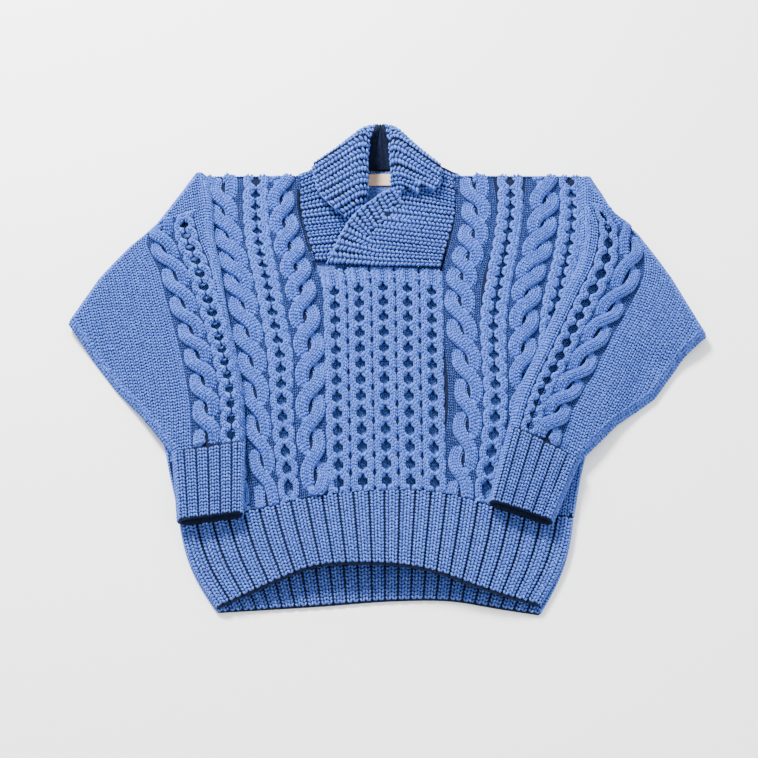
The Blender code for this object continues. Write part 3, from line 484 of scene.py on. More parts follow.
def side_of_body(side, y):
    """x of the body's side at height y, drawn in down the rib to the hem's corner."""
    end = 0 if side == "left" else -1
    rib_x, rib_y = FRONT_RIB_TOP[end]
    corner = -HEM_HALF if side == "left" else HEM_HALF
    down = np.clip((rib_y - y) / (rib_y - HEM_CORNER_HEIGHT), 0.0, 1.0)
    return np.where(y > rib_y, column("side_" + side, y), rib_x + (corner - rib_x) * down**HEM_DRAW_IN)


def body_outline():
    heights = [*RIB_HEIGHTS, *HEIGHTS[1:]]
    left = [(float(side_of_body("left", y)), y) for y in heights]
    right = [(float(side_of_body("right", y)), y) for y in reversed(heights)]
    return left + right


def sleeve_edge(side, edge, part):
    """Plan points on a sleeve's inner or outer edge. The outer edge keeps its sharp corner."""
    read = curve if edge == "inner" else lambda parts, values, at: np.interp(at, parts, values)
    table = SLEEVES[side]
    return np.stack([read(table["part"], table[edge + "_" + axis], part) for axis in "xy"], axis=-1)


def sleeve_part(v):
    """The part of the way down a sleeve at each of its eyelet rows."""
    return EYELET_PART_START + np.asarray(v, float) * EYELET_PITCH


def sleeve_row(part):
    return (part - EYELET_PART_START) / EYELET_PITCH


def sleeve_reach(side, name, v):
    """Distance of a named column from a sleeve's inner edge at each eyelet row."""
    return curve(SLEEVES[side]["part"], SLEEVES[side][name], sleeve_part(v))


def sleeve_width(side, v):
    part = sleeve_part(v)
    return np.linalg.norm(sleeve_edge(side, "outer", part) - sleeve_edge(side, "inner", part), axis=-1)


def root_outline(side):
    """Corners of the start of a sleeve: up the body's side, then out to the sleeve's folded corner."""
    top, mid, corner = (sleeve_edge(side, "outer", part) for part in (*ROOT_PARTS, CORNER_PART))
    sign = -1.0 if side == "left" else 1.0
    along_body = np.linspace(UNDERARM_HEIGHT, top[1] - ROOT_TOP_GAP, ROOT_SIDE_POINTS)
    body_side = [np.array([float(side_of_body(side, y)) + sign * ROOT_GAP, y]) for y in along_body]
    return [*body_side, mid + (-sign * ROOT_INSET[0], -ROOT_INSET[1]),
            corner + (-sign * ROOT_CORNER_INSET[0], -ROOT_CORNER_INSET[1])]


def floor_under_sleeve(x, y):
    """The height z that a folded sleeve lies at: on the body, on its own root, or on the surface."""
    inside = np.minimum(x - column("outer_eyelet_left", y), column("outer_eyelet_right", y) - x)
    raised = EYELET_RIM * ease((inside + EYELET_RAMP_START) / EYELET_RAMP)
    raised = raised + (CABLE_RISE - EYELET_RIM) * ease(inside / CABLE_RAMP)
    ribbed = RIB_RISE * ease(line(FRONT_RIB_TOP, x) + RIB_RAMP - y)
    body = front_underside(x, y) + WALL + np.maximum(raised, ribbed) + LAYER_GAP
    away = distance_outside(x, y, body_outline())
    height = body * (1 - ease(away / DRAPE_REACH))
    for side in SLEEVES:
        away = distance_outside(x, y, root_outline(side))
        height = np.maximum(height, (ROOT_HEIGHT + LAYER_GAP) * (1 - ease(away / DRAPE_REACH)))
    return height


def round_off(distance, width):
    """1 over most of a flattened tube, falling to 0 in a quarter circle at each of its edges."""
    near = np.minimum(distance, width - distance)
    t = np.clip(near / np.minimum(EDGE_ROUND, 0.5 * width), 0.0, 1.0)
    return np.sqrt(np.clip(1 - (1 - t) ** 2, 0.0, 1.0))


def collar_seam(side, y):
    """x of the collar's seam on the front at height y."""
    rows = COLLAR_TABLE[:LEFT_SEAM_ROWS] if side == "left" else COLLAR_TABLE[:RIGHT_SEAM_ROW:-1]
    return curve([row[1] for row in rows], [row[0] for row in rows], y)


def covered_by_sleeve(points):
    """True for plan points that lie well under a folded sleeve or its cuff."""
    covered = np.zeros(len(points), bool)
    parts = np.linspace(-0.05, 1.0, 40)
    for side in SLEEVES:
        inner, outer = sleeve_edge(side, "inner", parts), sleeve_edge(side, "outer", parts)
        ring = np.vstack([inner, [CUFF_END[side][0]], [CUFF_END[side][1]], outer[::-1]])
        inward = ring + (ring.mean(axis=0) - ring) * COVER_INSET
        covered |= distance_outside(points[:, 0], points[:, 1], inward) == 0
    return covered


# ---------------------------------------------------------------- places on the knitted surfaces

def place_front(u, v, rise):
    """A point on the front: u is x in cm, v the eyelet row, rise the height above the plain wall."""
    u = np.asarray(u, float)
    y = row_height(v, u)
    return np.stack([u, y, front_underside(u, y) + WALL + rise], axis=-1)


def column_at_row(name, v):
    """x of a named column at an eyelet row."""
    x = column(name, row_height(v, BODY_MIDDLE))
    for _ in range(3):
        x = column(name, row_height(v, x))
    return x


def sleeve_place(side):
    """A function that places points on a folded sleeve: u is the distance from its inner fold in cm."""
    def place(u, v, rise, layer="outer"):
        part = sleeve_part(v)
        inner, outer = sleeve_edge(side, "inner", part), sleeve_edge(side, "outer", part)
        width = np.linalg.norm(outer - inner, axis=-1)
        u = np.asarray(u, float)
        share = u / width
        plan = inner * (1 - share[..., None]) + outer * share[..., None]
        floor = floor_under_sleeve(plan[..., 0], plan[..., 1])
        loft = SLEEVE_LOFT * np.sqrt(np.minimum(1.0, width / FULL_LOFT_WIDTH))
        bow = np.sin(np.pi * np.clip(share, 0, 1))
        walls, inset = (2 * WALL, 0.0) if layer == "outer" else (WALL, WALL)
        top = walls + LAYER_GAP + EDGE_LOFT * loft + (1 - EDGE_LOFT) * loft * bow
        top = top * round_off(u - inset, width - 2 * inset)
        return np.stack([plan[..., 0], plan[..., 1], floor + top + rise], axis=-1)
    return place


def rib_place(hem, under, thickness):
    """A function that places points on a hem rib: u counts ribs, v is 0 at the hem and 1 at its top."""
    def place(u, v, rise):
        share = np.asarray(u, float) / HEM_RIBS
        v = np.asarray(v, float)
        top_x = FRONT_RIB_TOP[0][0] + share * (FRONT_RIB_TOP[-1][0] - FRONT_RIB_TOP[0][0])
        low_x = hem[0][0] + share * (hem[-1][0] - hem[0][0])
        bulge = HEM_BULGE * (2 * share - 1) ** 3 * np.sin(np.pi * v)
        x = top_x * v + low_x * (1 - v) + bulge
        y = (line(FRONT_RIB_TOP, top_x) - SEAM) * v + line(hem, low_x) * (1 - v)
        return np.stack([x, y, under(x, y) + thickness + rise], axis=-1)
    return place


def cuff_place(side, top):
    """A function that places points on a cuff's upper or lower face: u is 0 to 1 across, v 0 to 1 along."""
    start = (sleeve_edge(side, "inner", 1.0), sleeve_edge(side, "outer", 1.0))
    end = tuple(np.array(p) for p in CUFF_END[side])
    drop = (end[0] - start[0]) / np.linalg.norm(end[0] - start[0]) * SEAM

    def place(u, v, rise, inset=0.0):
        u, v = np.broadcast_arrays(np.asarray(u, float), np.asarray(v, float))
        a = start[0] + drop + (end[0] - start[0]) * v[..., None]
        b = start[1] + drop + (end[1] - start[1]) * v[..., None]
        width = np.linalg.norm(b - a, axis=-1)
        distance = inset + u * (width - 2 * inset)
        plan = a + (b - a) * (distance / width)[..., None]
        height = CUFF_HEIGHT + (CUFF_MOUTH - CUFF_HEIGHT) * v
        bulk = round_off(distance - inset, width - 2 * inset)
        middle = floor_under_sleeve(plan[..., 0], plan[..., 1]) + 0.5 * height
        reach = (0.5 * height - inset + rise) * bulk
        return np.stack([plan[..., 0], plan[..., 1], middle + (reach if top else -reach)], axis=-1)
    return place


def collar_stations(count):
    """Places in the collar's table at even steps along its seam, turn and edge taken together."""
    table = np.array(COLLAR_TABLE)[:, :COLLAR_NAMES.index("over_side")]
    fine = np.linspace(0.0, len(table) - 1.0, COLLAR_SAMPLES)
    lines = curve(np.arange(len(table)), table, fine).reshape(-1, 3, 3)
    steps = np.linalg.norm(np.diff(lines, axis=0), axis=2).mean(axis=1)
    reach = np.concatenate([[0.0], np.cumsum(steps)])
    return np.interp(np.linspace(0.0, reach[-1], count + 1), reach, fine)


def collar_middle(stations, across):
    """Points on the middle of the collar's wall: stations are rows of the table, across is 0 at the seam."""
    table = np.array(COLLAR_TABLE)
    rows = curve(np.arange(len(table)), table, stations)
    named = {name: rows[..., i] for i, name in enumerate(COLLAR_NAMES)}
    seam, roll, edge = (np.stack([named[place + "_" + axis] for axis in "xyz"], axis=-1)
                        for place in ("seam", "roll", "edge"))

    def length(vector):
        return np.linalg.norm(vector, axis=-1, keepdims=True)

    stand = (roll - seam) / length(roll - seam)
    fall = (edge - roll) / length(edge - roll)
    beside = np.stack([-stand[..., 1], stand[..., 0], 0 * stand[..., 0]], axis=-1)
    over = named["over_side"][..., None] * beside
    over[..., 2] += named["over_up"]
    before = roll - COLLAR_TURN * stand - over
    after = roll + np.minimum(COLLAR_TURN, COLLAR_TURN_SHARE * length(edge - roll)) * fall + over
    knots = np.stack([seam, 0.5 * (seam + before), before, roll, after, 0.5 * (after + edge), edge])
    found = curve(np.arange(len(knots)), knots.reshape(len(knots), -1), across)
    return found.reshape((len(across),) + seam.shape)


# ---------------------------------------------------------------- meshes

def plan_offset():
    """Where the tables' origin lies in the frame, in metres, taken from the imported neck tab."""
    low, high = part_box("neck_label")
    return np.array([0.5 * (low[k] + high[k]) - CM * LABEL_PLACE[k] for k in (0, 1)] + [0.0])


OFFSET = plan_offset()


def to_frame(points):
    return np.asarray(points, float).reshape(-1, 3) * CM + OFFSET


def add_object(name, data):
    """A new object of the scene that holds this mesh, light or camera."""
    made = bpy.data.objects.new(name, data)
    bpy.context.scene.collection.objects.link(made)
    return made


def outward(mesh):
    """Turns a mesh's faces outward and makes it smooth."""
    shape = bmesh.new()
    shape.from_mesh(mesh)
    bmesh.ops.recalc_face_normals(shape, faces=shape.faces)
    shape.to_mesh(mesh)
    shape.free()
    mesh.shade_smooth()


def new_mesh(name, points, faces, material):
    """A mesh object from points in plan cm, with its faces turned outward."""
    mesh = bpy.data.meshes.new(name)
    mesh.from_pydata(to_frame(points).tolist(), [], [tuple(map(int, f)) for f in faces])
    mesh.validate()
    made = add_object(name, mesh)
    outward(mesh)
    mesh.materials.append(material)
    return made


def grid_faces(rows, columns, start=0, ring=False):
    """Quads of a grid of points whose columns may close into a ring."""
    i, j = np.meshgrid(np.arange(rows - 1), np.arange(columns if ring else columns - 1), indexing="ij")
    low, high = i * columns, (i + 1) * columns
    after = (j + 1) % columns
    quads = np.stack([low + j, low + after, high + after, high + j], axis=-1)
    return (quads.reshape(-1, 4) + start).tolist()


def wall_mesh(name, outer, inner, material, keep=None):
    """A closed wall between two grids of points. keep says which cells are cloth, the rest are holes."""
    rows, columns = outer.shape[:2]
    if keep is None:
        keep = np.ones((rows - 1, columns - 1), bool)
    points = np.vstack([outer.reshape(-1, 3), inner.reshape(-1, 3)])
    half = rows * columns

    def quads(*corners):
        return np.stack(corners, axis=-1).tolist()

    i, j = np.nonzero(keep)
    a, b, c, d = i * columns + j, i * columns + j + 1, (i + 1) * columns + j + 1, (i + 1) * columns + j
    faces = quads(a, b, c, d) + quads(a + half, d + half, c + half, b + half)
    padded = np.zeros((rows + 1, columns + 1), bool)
    padded[1:-1, 1:-1] = keep
    i, j = np.nonzero(padded[:-1, 1:-1] != padded[1:, 1:-1])
    p, q = i * columns + j, i * columns + j + 1
    faces += quads(p, p + half, q + half, q)
    i, j = np.nonzero(padded[1:-1, :-1] != padded[1:-1, 1:])
    p, q = i * columns + j, (i + 1) * columns + j
    faces += quads(p, q, q + half, p + half)
    used = np.zeros(len(points), bool)
    used[np.unique(np.array(faces))] = True
    place = np.cumsum(used) - 1
    return new_mesh(name, points[used], place[np.array(faces)], material)


def grid_area(points):
    """Area in square metres of a surface given as a grid of points in cm."""
    a = points[1:, 1:] - points[:-1, :-1]
    b = points[1:, :-1] - points[:-1, 1:]
    return float(0.5 * np.linalg.norm(np.cross(a, b), axis=-1).sum()) * CM * CM


class Tubes:
    """Rounded strands of knitting that lie on a surface, gathered into one mesh."""

    def __init__(self):
        self.points, self.faces, self.count = [], [], 0

    def add(self, rings):
        """rings is (length, sides, 3); the ends are closed."""
        length, sides = rings.shape[:2]
        self.faces += grid_faces(length, sides, self.count, ring=True)
        self.faces.append([self.count + k for k in range(sides)][::-1])
        self.faces.append([self.count + (length - 1) * sides + k for k in range(sides)])
        self.points.append(rings.reshape(-1, 3))
        self.count += length * sides

    def build(self, name, material):
        return new_mesh(name, np.vstack(self.points), self.faces, material)


class Stitches:
    """Places of knit stitches: where each is, which way its column runs, outward, and its size, in cm."""

    def __init__(self):
        self.points, self.along, self.outward, self.size = [], [], [], []

    def add_path(self, path, outward, width, step, plump=1.0):
        """Stitches every step along a path of points; outward and width are given at those points."""
        reach = np.linalg.norm(np.diff(path, axis=0), axis=1)
        reach = np.concatenate([[0.0], np.cumsum(reach)])
        count = int(reach[-1] / step)
        if count < 1:
            return
        at = (np.arange(count) + 0.5) * reach[-1] / count
        here, along, off = (np.stack([np.interp(at, reach, grid[:, k]) for k in range(3)], axis=-1)
                            for grid in (path, np.gradient(path, axis=0), outward))
        wide = np.interp(at, reach, np.broadcast_to(width, reach.shape))
        self.points.append(here)
        self.along.append(along / np.linalg.norm(along, axis=1)[:, None])
        self.outward.append(off / np.linalg.norm(off, axis=1)[:, None])
        self.size.append(np.stack([wide, np.full(count, reach[-1] / count), np.full(count, plump)], axis=-1))

    def add_line(self, place, u, v, rise, width, where=None, step=None, plump=1.0, lean=(0.0, 1.0)):
        """Stitches along the line u(v) of a surface, all along it or where a mask is true."""
        path, off = place(u, v, rise), outward_of(place, u, v, rise, *lean)
        width = np.broadcast_to(width, len(path))
        for run in [slice(None)] if where is None else runs(where):
            self.add_path(path[run], off[run], width[run], step or course(), plump)

    def keep(self, wanted):
        """Drops the stitches whose place isn't wanted."""
        mask = wanted(np.vstack(self.points))
        for name in ("points", "along", "outward", "size"):
            setattr(self, name, [np.vstack(getattr(self, name))[mask]])


def runs(mask):
    """The stretches of a mask that are true, as slices of two points or more."""
    edges = np.flatnonzero(np.diff(np.concatenate([[False], mask, [False]]).astype(int)))
    return [slice(a, b) for a, b in zip(edges[::2], edges[1::2]) if b - a > 1]


def outward_of(place, u, v, rise, du=0.0, dr=1.0):
    """Direction up and off a surface at (u, v, rise), leaning across by du for every dr off it."""
    def unit(vector):
        return vector / np.maximum(np.linalg.norm(vector, axis=-1, keepdims=True), 1e-9)

    here = place(u, v, rise)
    across = place(u + SMALL_STEP, v, rise) - here
    normal = unit(np.cross(across, place(u, v + SMALL_STEP, rise) - here))
    normal *= np.where(normal[..., 2:] < 0, -1.0, 1.0)
    return normal * dr + unit(across) * du


# ---------------------------------------------------------------- nodes

def add_node(tree, kind, inputs=None, **settings):
    """Adds a node to a tree. Each input is given a value, or the output that it is linked to."""
    node = tree.nodes.new(kind)
    for key, value in settings.items():
        setattr(node, key, value)
    for key, value in (inputs or {}).items():
        if isinstance(value, bpy.types.NodeSocket):
            tree.links.new(value, node.inputs[key])
        else:
            node.inputs[key].default_value = value
    return node


def new_group(name, kind, inputs, outputs):
    """An empty node group. Each socket is a name, its type and its default."""
    tree = bpy.data.node_groups.new(name, kind)
    for way, sockets in (("INPUT", inputs), ("OUTPUT", outputs)):
        for label, form, default in sockets:
            socket = tree.interface.new_socket(name=label, in_out=way, socket_type="NodeSocket" + form)
            if default is not None:
                socket.default_value = default
    return tree


def stitch_shape():
    """One knit stitch: two leaning legs of yarn, one unit wide and one unit long."""
    points = []
    faces = []
    for side in (-1.0, 1.0):
        start = np.array([side * 0.12, -0.44, -0.10])
        end = np.array([side * 0.36, 0.72, 0.05])
        first = len(points)
        points.append(start)
        for share, girth in ((0.22, 0.85), (0.72, 1.0)):
            middle = start + (end - start) * share + np.array([0, 0, 0.25 * math.sin(math.pi * share)])
            for corner in ((-0.25, -0.04, -0.30), (0.0, 0.0, 0.62), (0.25, -0.04, -0.30)):
                points.append(middle + girth * np.array(corner))
        points.append(end)
        for k in range(3):
            n = (k + 1) % 3
            faces.append((first, first + 1 + n, first + 1 + k))
            faces.append((first + 1 + k, first + 1 + n, first + 4 + n, first + 4 + k))
            faces.append((first + 4 + k, first + 4 + n, first + 7))
    mesh = bpy.data.meshes.new("stitch_shape")
    mesh.from_pydata([tuple(p) for p in points], [], faces)
    outward(mesh)
    return add_object("stitch_shape", mesh)


def stitch_tree():
    """Geometry nodes: sets a stitch on every point, turned along its column and off the cloth."""
    name = "knit_stitch_setter"
    if name in bpy.data.node_groups:
        return bpy.data.node_groups[name]
    tree = new_group(name, "GeometryNodeTree", [
        ("Places", "Geometry", None), ("Stitch", "Object", None), ("Wool", "Material", None),
        ("Yarn rise", "Float", knitting().yarn_rise), ("Unevenness", "Float", UNEVENNESS),
        ("Seed", "Int", None),
    ], [("Knitting", "Geometry", None)])

    def attribute(label):
        return add_node(tree, "GeometryNodeInputNamedAttribute", {"Name": label},
                        data_type="FLOAT_VECTOR").outputs["Attribute"]

    enter = add_node(tree, "NodeGroupInput").outputs
    stitch = add_node(tree, "GeometryNodeObjectInfo", {"Object": enter["Stitch"]})
    off_cloth = add_node(tree, "FunctionNodeAlignRotationToVector", {"Vector": attribute("outward")},
                         axis="Z")
    along = add_node(tree, "FunctionNodeAlignRotationToVector",
                     {"Rotation": off_cloth.outputs["Rotation"], "Vector": attribute("along")},
                     axis="Y", pivot_axis="Z")
    wobble = add_node(tree, "FunctionNodeRandomValue",
                      {"Seed": enter["Seed"], 0: (-0.6, -0.6, -1.0), 1: (0.6, 0.6, 1.0)},
                      data_type="FLOAT_VECTOR")
    spread = add_node(tree, "ShaderNodeVectorMath", {0: wobble.outputs[0], "Scale": enter["Unevenness"]},
                      operation="SCALE")
    turned = add_node(tree, "FunctionNodeEulerToRotation", {0: spread.outputs[0]})
    both = add_node(tree, "FunctionNodeRotateRotation",
                    {"Rotation": along.outputs["Rotation"], "Rotate By": turned.outputs[0]},
                    rotation_space="LOCAL")
    tall = add_node(tree, "ShaderNodeCombineXYZ", {"X": 1.0, "Y": 1.0, "Z": enter["Yarn rise"]})
    size = add_node(tree, "ShaderNodeVectorMath", {0: attribute("size"), 1: tall.outputs[0]},
                    operation="MULTIPLY")
    place = add_node(tree, "GeometryNodeInstanceOnPoints",
                     {"Points": enter["Places"], "Instance": stitch.outputs["Geometry"],
                      "Rotation": both.outputs["Rotation"], "Scale": size.outputs[0]})
    real = add_node(tree, "GeometryNodeRealizeInstances", {"Geometry": place.outputs["Instances"]})
    paint = add_node(tree, "GeometryNodeSetMaterial",
                     {"Geometry": real.outputs["Geometry"], "Material": enter["Wool"]})
    add_node(tree, "NodeGroupOutput", {"Knitting": paint.outputs["Geometry"]})
    return tree


def knit(name, stitches, material, seed=1):
    """Turns the gathered stitch places into one mesh of stitches."""
    mesh = bpy.data.meshes.new(name + "_places")
    mesh.from_pydata(to_frame(np.vstack(stitches.points)).tolist(), [], [])
    layers = {"along": np.vstack(stitches.along), "outward": np.vstack(stitches.outward),
              "size": np.vstack(stitches.size) * (CM, CM, 1.0)}
    for key, values in layers.items():
        layer = mesh.attributes.new(key, "FLOAT_VECTOR", "POINT")
        layer.data.foreach_set("vector", values.astype(np.float32).ravel())
    source = add_object(name + "_places", mesh)
    shape = stitch_shape()
    modifier = source.modifiers.new("stitches", "NODES")
    modifier.node_group = stitch_tree()
    sockets = {item.name: item.identifier for item in modifier.node_group.interface.items_tree}
    for key, value in (("Stitch", shape), ("Wool", material), ("Yarn rise", knitting().yarn_rise),
                       ("Unevenness", UNEVENNESS), ("Seed", seed)):
        modifier[sockets[key]] = value
    graph = bpy.context.evaluated_depsgraph_get()
    graph.update()
    made_mesh = bpy.data.meshes.new_from_object(source.evaluated_get(graph), depsgraph=graph)
    made_mesh.name = name
    made = add_object(name, made_mesh)
    for key in layers:
        if key in made_mesh.attributes:
            made_mesh.attributes.remove(made_mesh.attributes[key])
    source.modifiers.clear()
    for helper in (source, shape):
        bpy.data.objects.remove(helper, do_unlink=True)
    if len(made_mesh.polygons) == 0:
        raise RuntimeError("no stitches were made for " + name)
    return made


# ---------------------------------------------------------------- materials

def new_material(name, **settings):
    """A material, and its main shader with the inputs given."""
    material = bpy.data.materials.new(name)
    material.use_nodes = True
    shader = material.node_tree.nodes["Principled BSDF"]
    for key, value in settings.items():
        shader.inputs[key.replace("_", " ")].default_value = value
    return material, shader


def heather_group():
    """Shader nodes: the colour of heathered wool, and the height of its fine fibres."""
    name = "heathered_wool"
    if name in bpy.data.node_groups:
        return bpy.data.node_groups[name]
    tree = new_group(name, "ShaderNodeTree", [
        ("Dark fibre", "Color", None), ("Main fibre", "Color", None), ("Light fibre", "Color", None),
        ("Fleck size", "Float", FLECK_SIZE),
    ], [("Color", "Color", None), ("Height", "Float", None)])
    enter = add_node(tree, "NodeGroupInput").outputs
    where = add_node(tree, "ShaderNodeTexCoord").outputs["Object"]
    scale = add_node(tree, "ShaderNodeMath", {0: 1.0, 1: enter["Fleck size"]}, operation="DIVIDE")
    fleck = add_node(tree, "ShaderNodeTexNoise",
                     {"Vector": where, "Scale": scale.outputs[0], "Detail": 2.0, "Roughness": 0.6})

    def blend(low, high, under, over):
        """One fibre over another where the flecks lie between low and high."""
        share = add_node(tree, "ShaderNodeMapRange",
                         {"Value": fleck.outputs["Fac"], "From Min": low, "From Max": high})
        return add_node(tree, "ShaderNodeMix", {0: share.outputs["Result"], 6: under, 7: over},
                        data_type="RGBA").outputs[2]

    yarn = blend(0.36, 0.52, enter["Dark fibre"], enter["Main fibre"])
    yarn = blend(0.52, 0.66, yarn, enter["Light fibre"])
    fibre = add_node(tree, "ShaderNodeTexNoise", {"Vector": where, "Scale": 1600.0, "Detail": 2.0})
    add_node(tree, "NodeGroupOutput", {"Color": yarn, "Height": fibre.outputs["Fac"]})
    return tree


def stockinette_group():
    """Shader nodes: the height of plain knitting, columns of V stitches along Y."""
    name = "plain_knitting"
    if name in bpy.data.node_groups:
        return bpy.data.node_groups[name]
    tree = new_group(name, "ShaderNodeTree", [
        ("Stitch width", "Float", knitting().stitch_width), ("Course height", "Float", knitting().course),
    ], [("Height", "Float", None)])

    def maths(operation, *terms):
        return add_node(tree, "ShaderNodeMath", dict(enumerate(terms)), operation=operation).outputs[0]

    enter = add_node(tree, "NodeGroupInput").outputs
    where = add_node(tree, "ShaderNodeTexCoord").outputs["Object"]
    split = add_node(tree, "ShaderNodeSeparateXYZ", {0: where}).outputs
    across = maths("DIVIDE", split["X"], enter["Stitch width"])
    along = maths("DIVIDE", split["Y"], enter["Course height"])
    from_middle = maths("PINGPONG", across, 0.5)
    leg = maths("SUBTRACT", 1.0, maths("ABSOLUTE", maths("MULTIPLY_ADD", from_middle, 4.0, -1.0)))
    slant = maths("PINGPONG", maths("SUBTRACT", along, maths("MULTIPLY", from_middle, 1.6)), 0.5)
    bead = maths("MULTIPLY", maths("SQRT", leg), maths("SQRT", maths("MULTIPLY", slant, 2.0)))
    add_node(tree, "NodeGroupOutput", {"Height": bead})
    return tree


def wool(name, knitted=False, shade=1.0):
    """Heathered wool. knitted adds a relief of plain stitches; a shade below 1 scales its colours darker and
    leaves out the sheen, a painted shade for the cloth below the stitches and the purl ground.
    """
    if name in bpy.data.materials:
        return bpy.data.materials[name]
    colours = bpy.context.scene.sweater_wool
    material, shader = new_material(name, Roughness=0.92, Specular_IOR_Level=0.15, Sheen_Roughness=0.6,
                                    Sheen_Weight=0.10 if shade == 1.0 else 0.0,
                                    Sheen_Tint=(0.45, 0.62, 1.0, 1.0))
    tree = material.node_tree
    fibres = (("Dark fibre", colours.shade), ("Main fibre", colours.main), ("Light fibre", colours.fleck))
    heather = add_node(tree, "ShaderNodeGroup", node_tree=heather_group())
    for key, colour in fibres:
        heather.inputs[key].default_value = (*[shade * c for c in colour], 1.0)
    heather.inputs["Fleck size"].default_value = FLECK_SIZE
    fuzz = add_node(tree, "ShaderNodeBump",
                    {"Strength": 0.5, "Distance": 0.0008, "Height": heather.outputs["Height"]})
    tree.links.new(heather.outputs["Color"], shader.inputs["Base Color"])
    tree.links.new(fuzz.outputs["Normal"], shader.inputs["Normal"])
    if knitted:
        plain = add_node(tree, "ShaderNodeGroup", node_tree=stockinette_group())
        plain.inputs["Stitch width"].default_value = knitting().stitch_width
        plain.inputs["Course height"].default_value = knitting().course
        relief = add_node(tree, "ShaderNodeBump",
                          {"Strength": 1.0, "Distance": 0.0022, "Height": plain.outputs["Height"]})
        tree.links.new(relief.outputs["Normal"], fuzz.inputs["Normal"])
    return material


def yarn():
    """The wool of the stitches, cables and bands."""
    return wool("wool_yarn")


def cloth_below_in_painted_shade():
    """The cloth seen between the stitches, its colours darkened as painted shade in the gaps, grooves,
    gutters and the neck slot.
    """
    return wool("wool_painted_shade_under_stitches", shade=UNDER_SHADE)


def purl_yarn_in_painted_shade():
    """The wool of the low ground beside the cables, its colours darkened as painted shade of that recess."""
    return wool("wool_purl_painted_shade", shade=PURL_SHADE)


def plain_knit():
    """Wool whose plain stitches are a relief in the material."""
    return wool("wool_plain_knit", knitted=True)


def tab_cloth():
    """Smooth woven tape of the neck tab, with a fine weave."""
    material, shader = new_material("neck_tab_tape", Roughness=0.6)
    tree = material.node_tree
    colour = bpy.context.scene.sweater_wool.tab
    where = add_node(tree, "ShaderNodeTexCoord").outputs["Object"]
    weave = add_node(tree, "ShaderNodeTexWave",
                     {"Vector": where, "Scale": 420.0, "Distortion": 0.6}).outputs["Fac"]
    tint = add_node(tree, "ShaderNodeMix",
                    {0: weave, 6: (*[0.86 * c for c in colour], 1.0), 7: (*colour, 1.0)}, data_type="RGBA")
    bump = add_node(tree, "ShaderNodeBump", {"Strength": 0.3, "Distance": 0.0004, "Height": weave})
    tree.links.new(tint.outputs[2], shader.inputs["Base Color"])
    tree.links.new(bump.outputs["Normal"], shader.inputs["Normal"])
    return material


# ---------------------------------------------------------------- knitted columns

def knitting():
    """The sizes of the knitting that a user may change."""
    return bpy.context.scene.sweater_knitting


def course():
    """Length of knitting that one row of stitches adds, cm."""
    return knitting().course / CM


def row_pitch(place, middle, v):
    """Length in cm of one eyelet row along a column, at each row position."""
    path = place(middle, v, 0.0)
    pitch = np.linalg.norm(np.gradient(path, axis=0), axis=1) / np.abs(np.gradient(v))
    return np.maximum(pitch, SHORTEST_ROW)


def strand(tubes, place, v, u, reach, pitch, rise, thick, sides, taper=1.0):
    """A rounded strand along u(v), with its width kept square to its path; rise and thick are heights."""
    slope = np.gradient(u) / (np.gradient(v) * pitch)
    length = np.sqrt(1 + slope**2)
    over, along = 1 / length, -slope / length / pitch
    angles = 2 * np.pi * np.arange(sides) / sides
    across = (reach * taper)[:, None] * np.cos(angles)[None]
    thick = np.broadcast_to(thick * taper, v.shape)
    height = np.broadcast_to(rise, v.shape)[:, None] + thick[:, None] * np.sin(angles)[None]
    tubes.add(place(u[:, None] + over[:, None] * across, v[:, None] + along[:, None] * across, height))
    return over, along


class EyeletColumn:
    """A column of eyelets: two bands of knitting that part round each hole."""

    def __init__(self, centre, half, last, scallop, notch):
        self.centre, self.half, self.last, self.scallop, self.notch = centre, half, last, scallop, notch

    def width(self, v):
        """Half width of the column, wide at each eyelet and drawn in between them."""
        between = np.abs(v - np.floor(v) - 0.5)
        nick = self.notch * np.clip(1 - (between / NOTCH_REACH) ** 2, 0.0, 1.0)
        return self.half(v) * (1 - self.scallop * (1 - ease(between / SCALLOP_REACH))) - nick

    def hole(self, v):
        """Half width of the hole at each row position: an oval at every eyelet."""
        half = np.minimum(0.5 * knitting().eyelet_width / CM, HOLE_SHARE * self.half(v))
        nearest = np.clip(np.round(v), 0, self.last)
        return half * np.sqrt(1 - np.clip(np.abs(v - nearest) / EYELET_LENGTH, 0.0, 1.0) ** 3)

    def add(self, place, v, tubes, stitches):
        middle, hole = self.centre(v), self.hole(v)
        pitch = row_pitch(place, middle, v)
        inner, outer = np.maximum(hole, BAND_PARTING), self.width(v)
        reach = 0.5 * (outer - inner)
        for side in (-1.0, 1.0):
            centre = middle + side * 0.5 * (inner + outer)
            strand(tubes, place, v, centre, reach, pitch, BAND_BASE, BAND_RISE, BAND_SIDES)
            for share in BAND_STITCHES:
                lift = BAND_RISE * math.sqrt(1 - share**2)
                width = BAND_STITCH_WIDTH + reach * BAND_STITCH_SHARE
                stitches.add_line(place, centre + share * reach, v, BAND_BASE + lift, width,
                                  lean=(BAND_LEAN * share, lift))
        for shift in (-BRIDGE_SHIFT, BRIDGE_SHIFT):
            stitches.add_line(place, middle + shift, v, BRIDGE_HEIGHT, BRIDGE_WIDTH, hole < NARROWEST_HOLE,
                              plump=PLUMP)


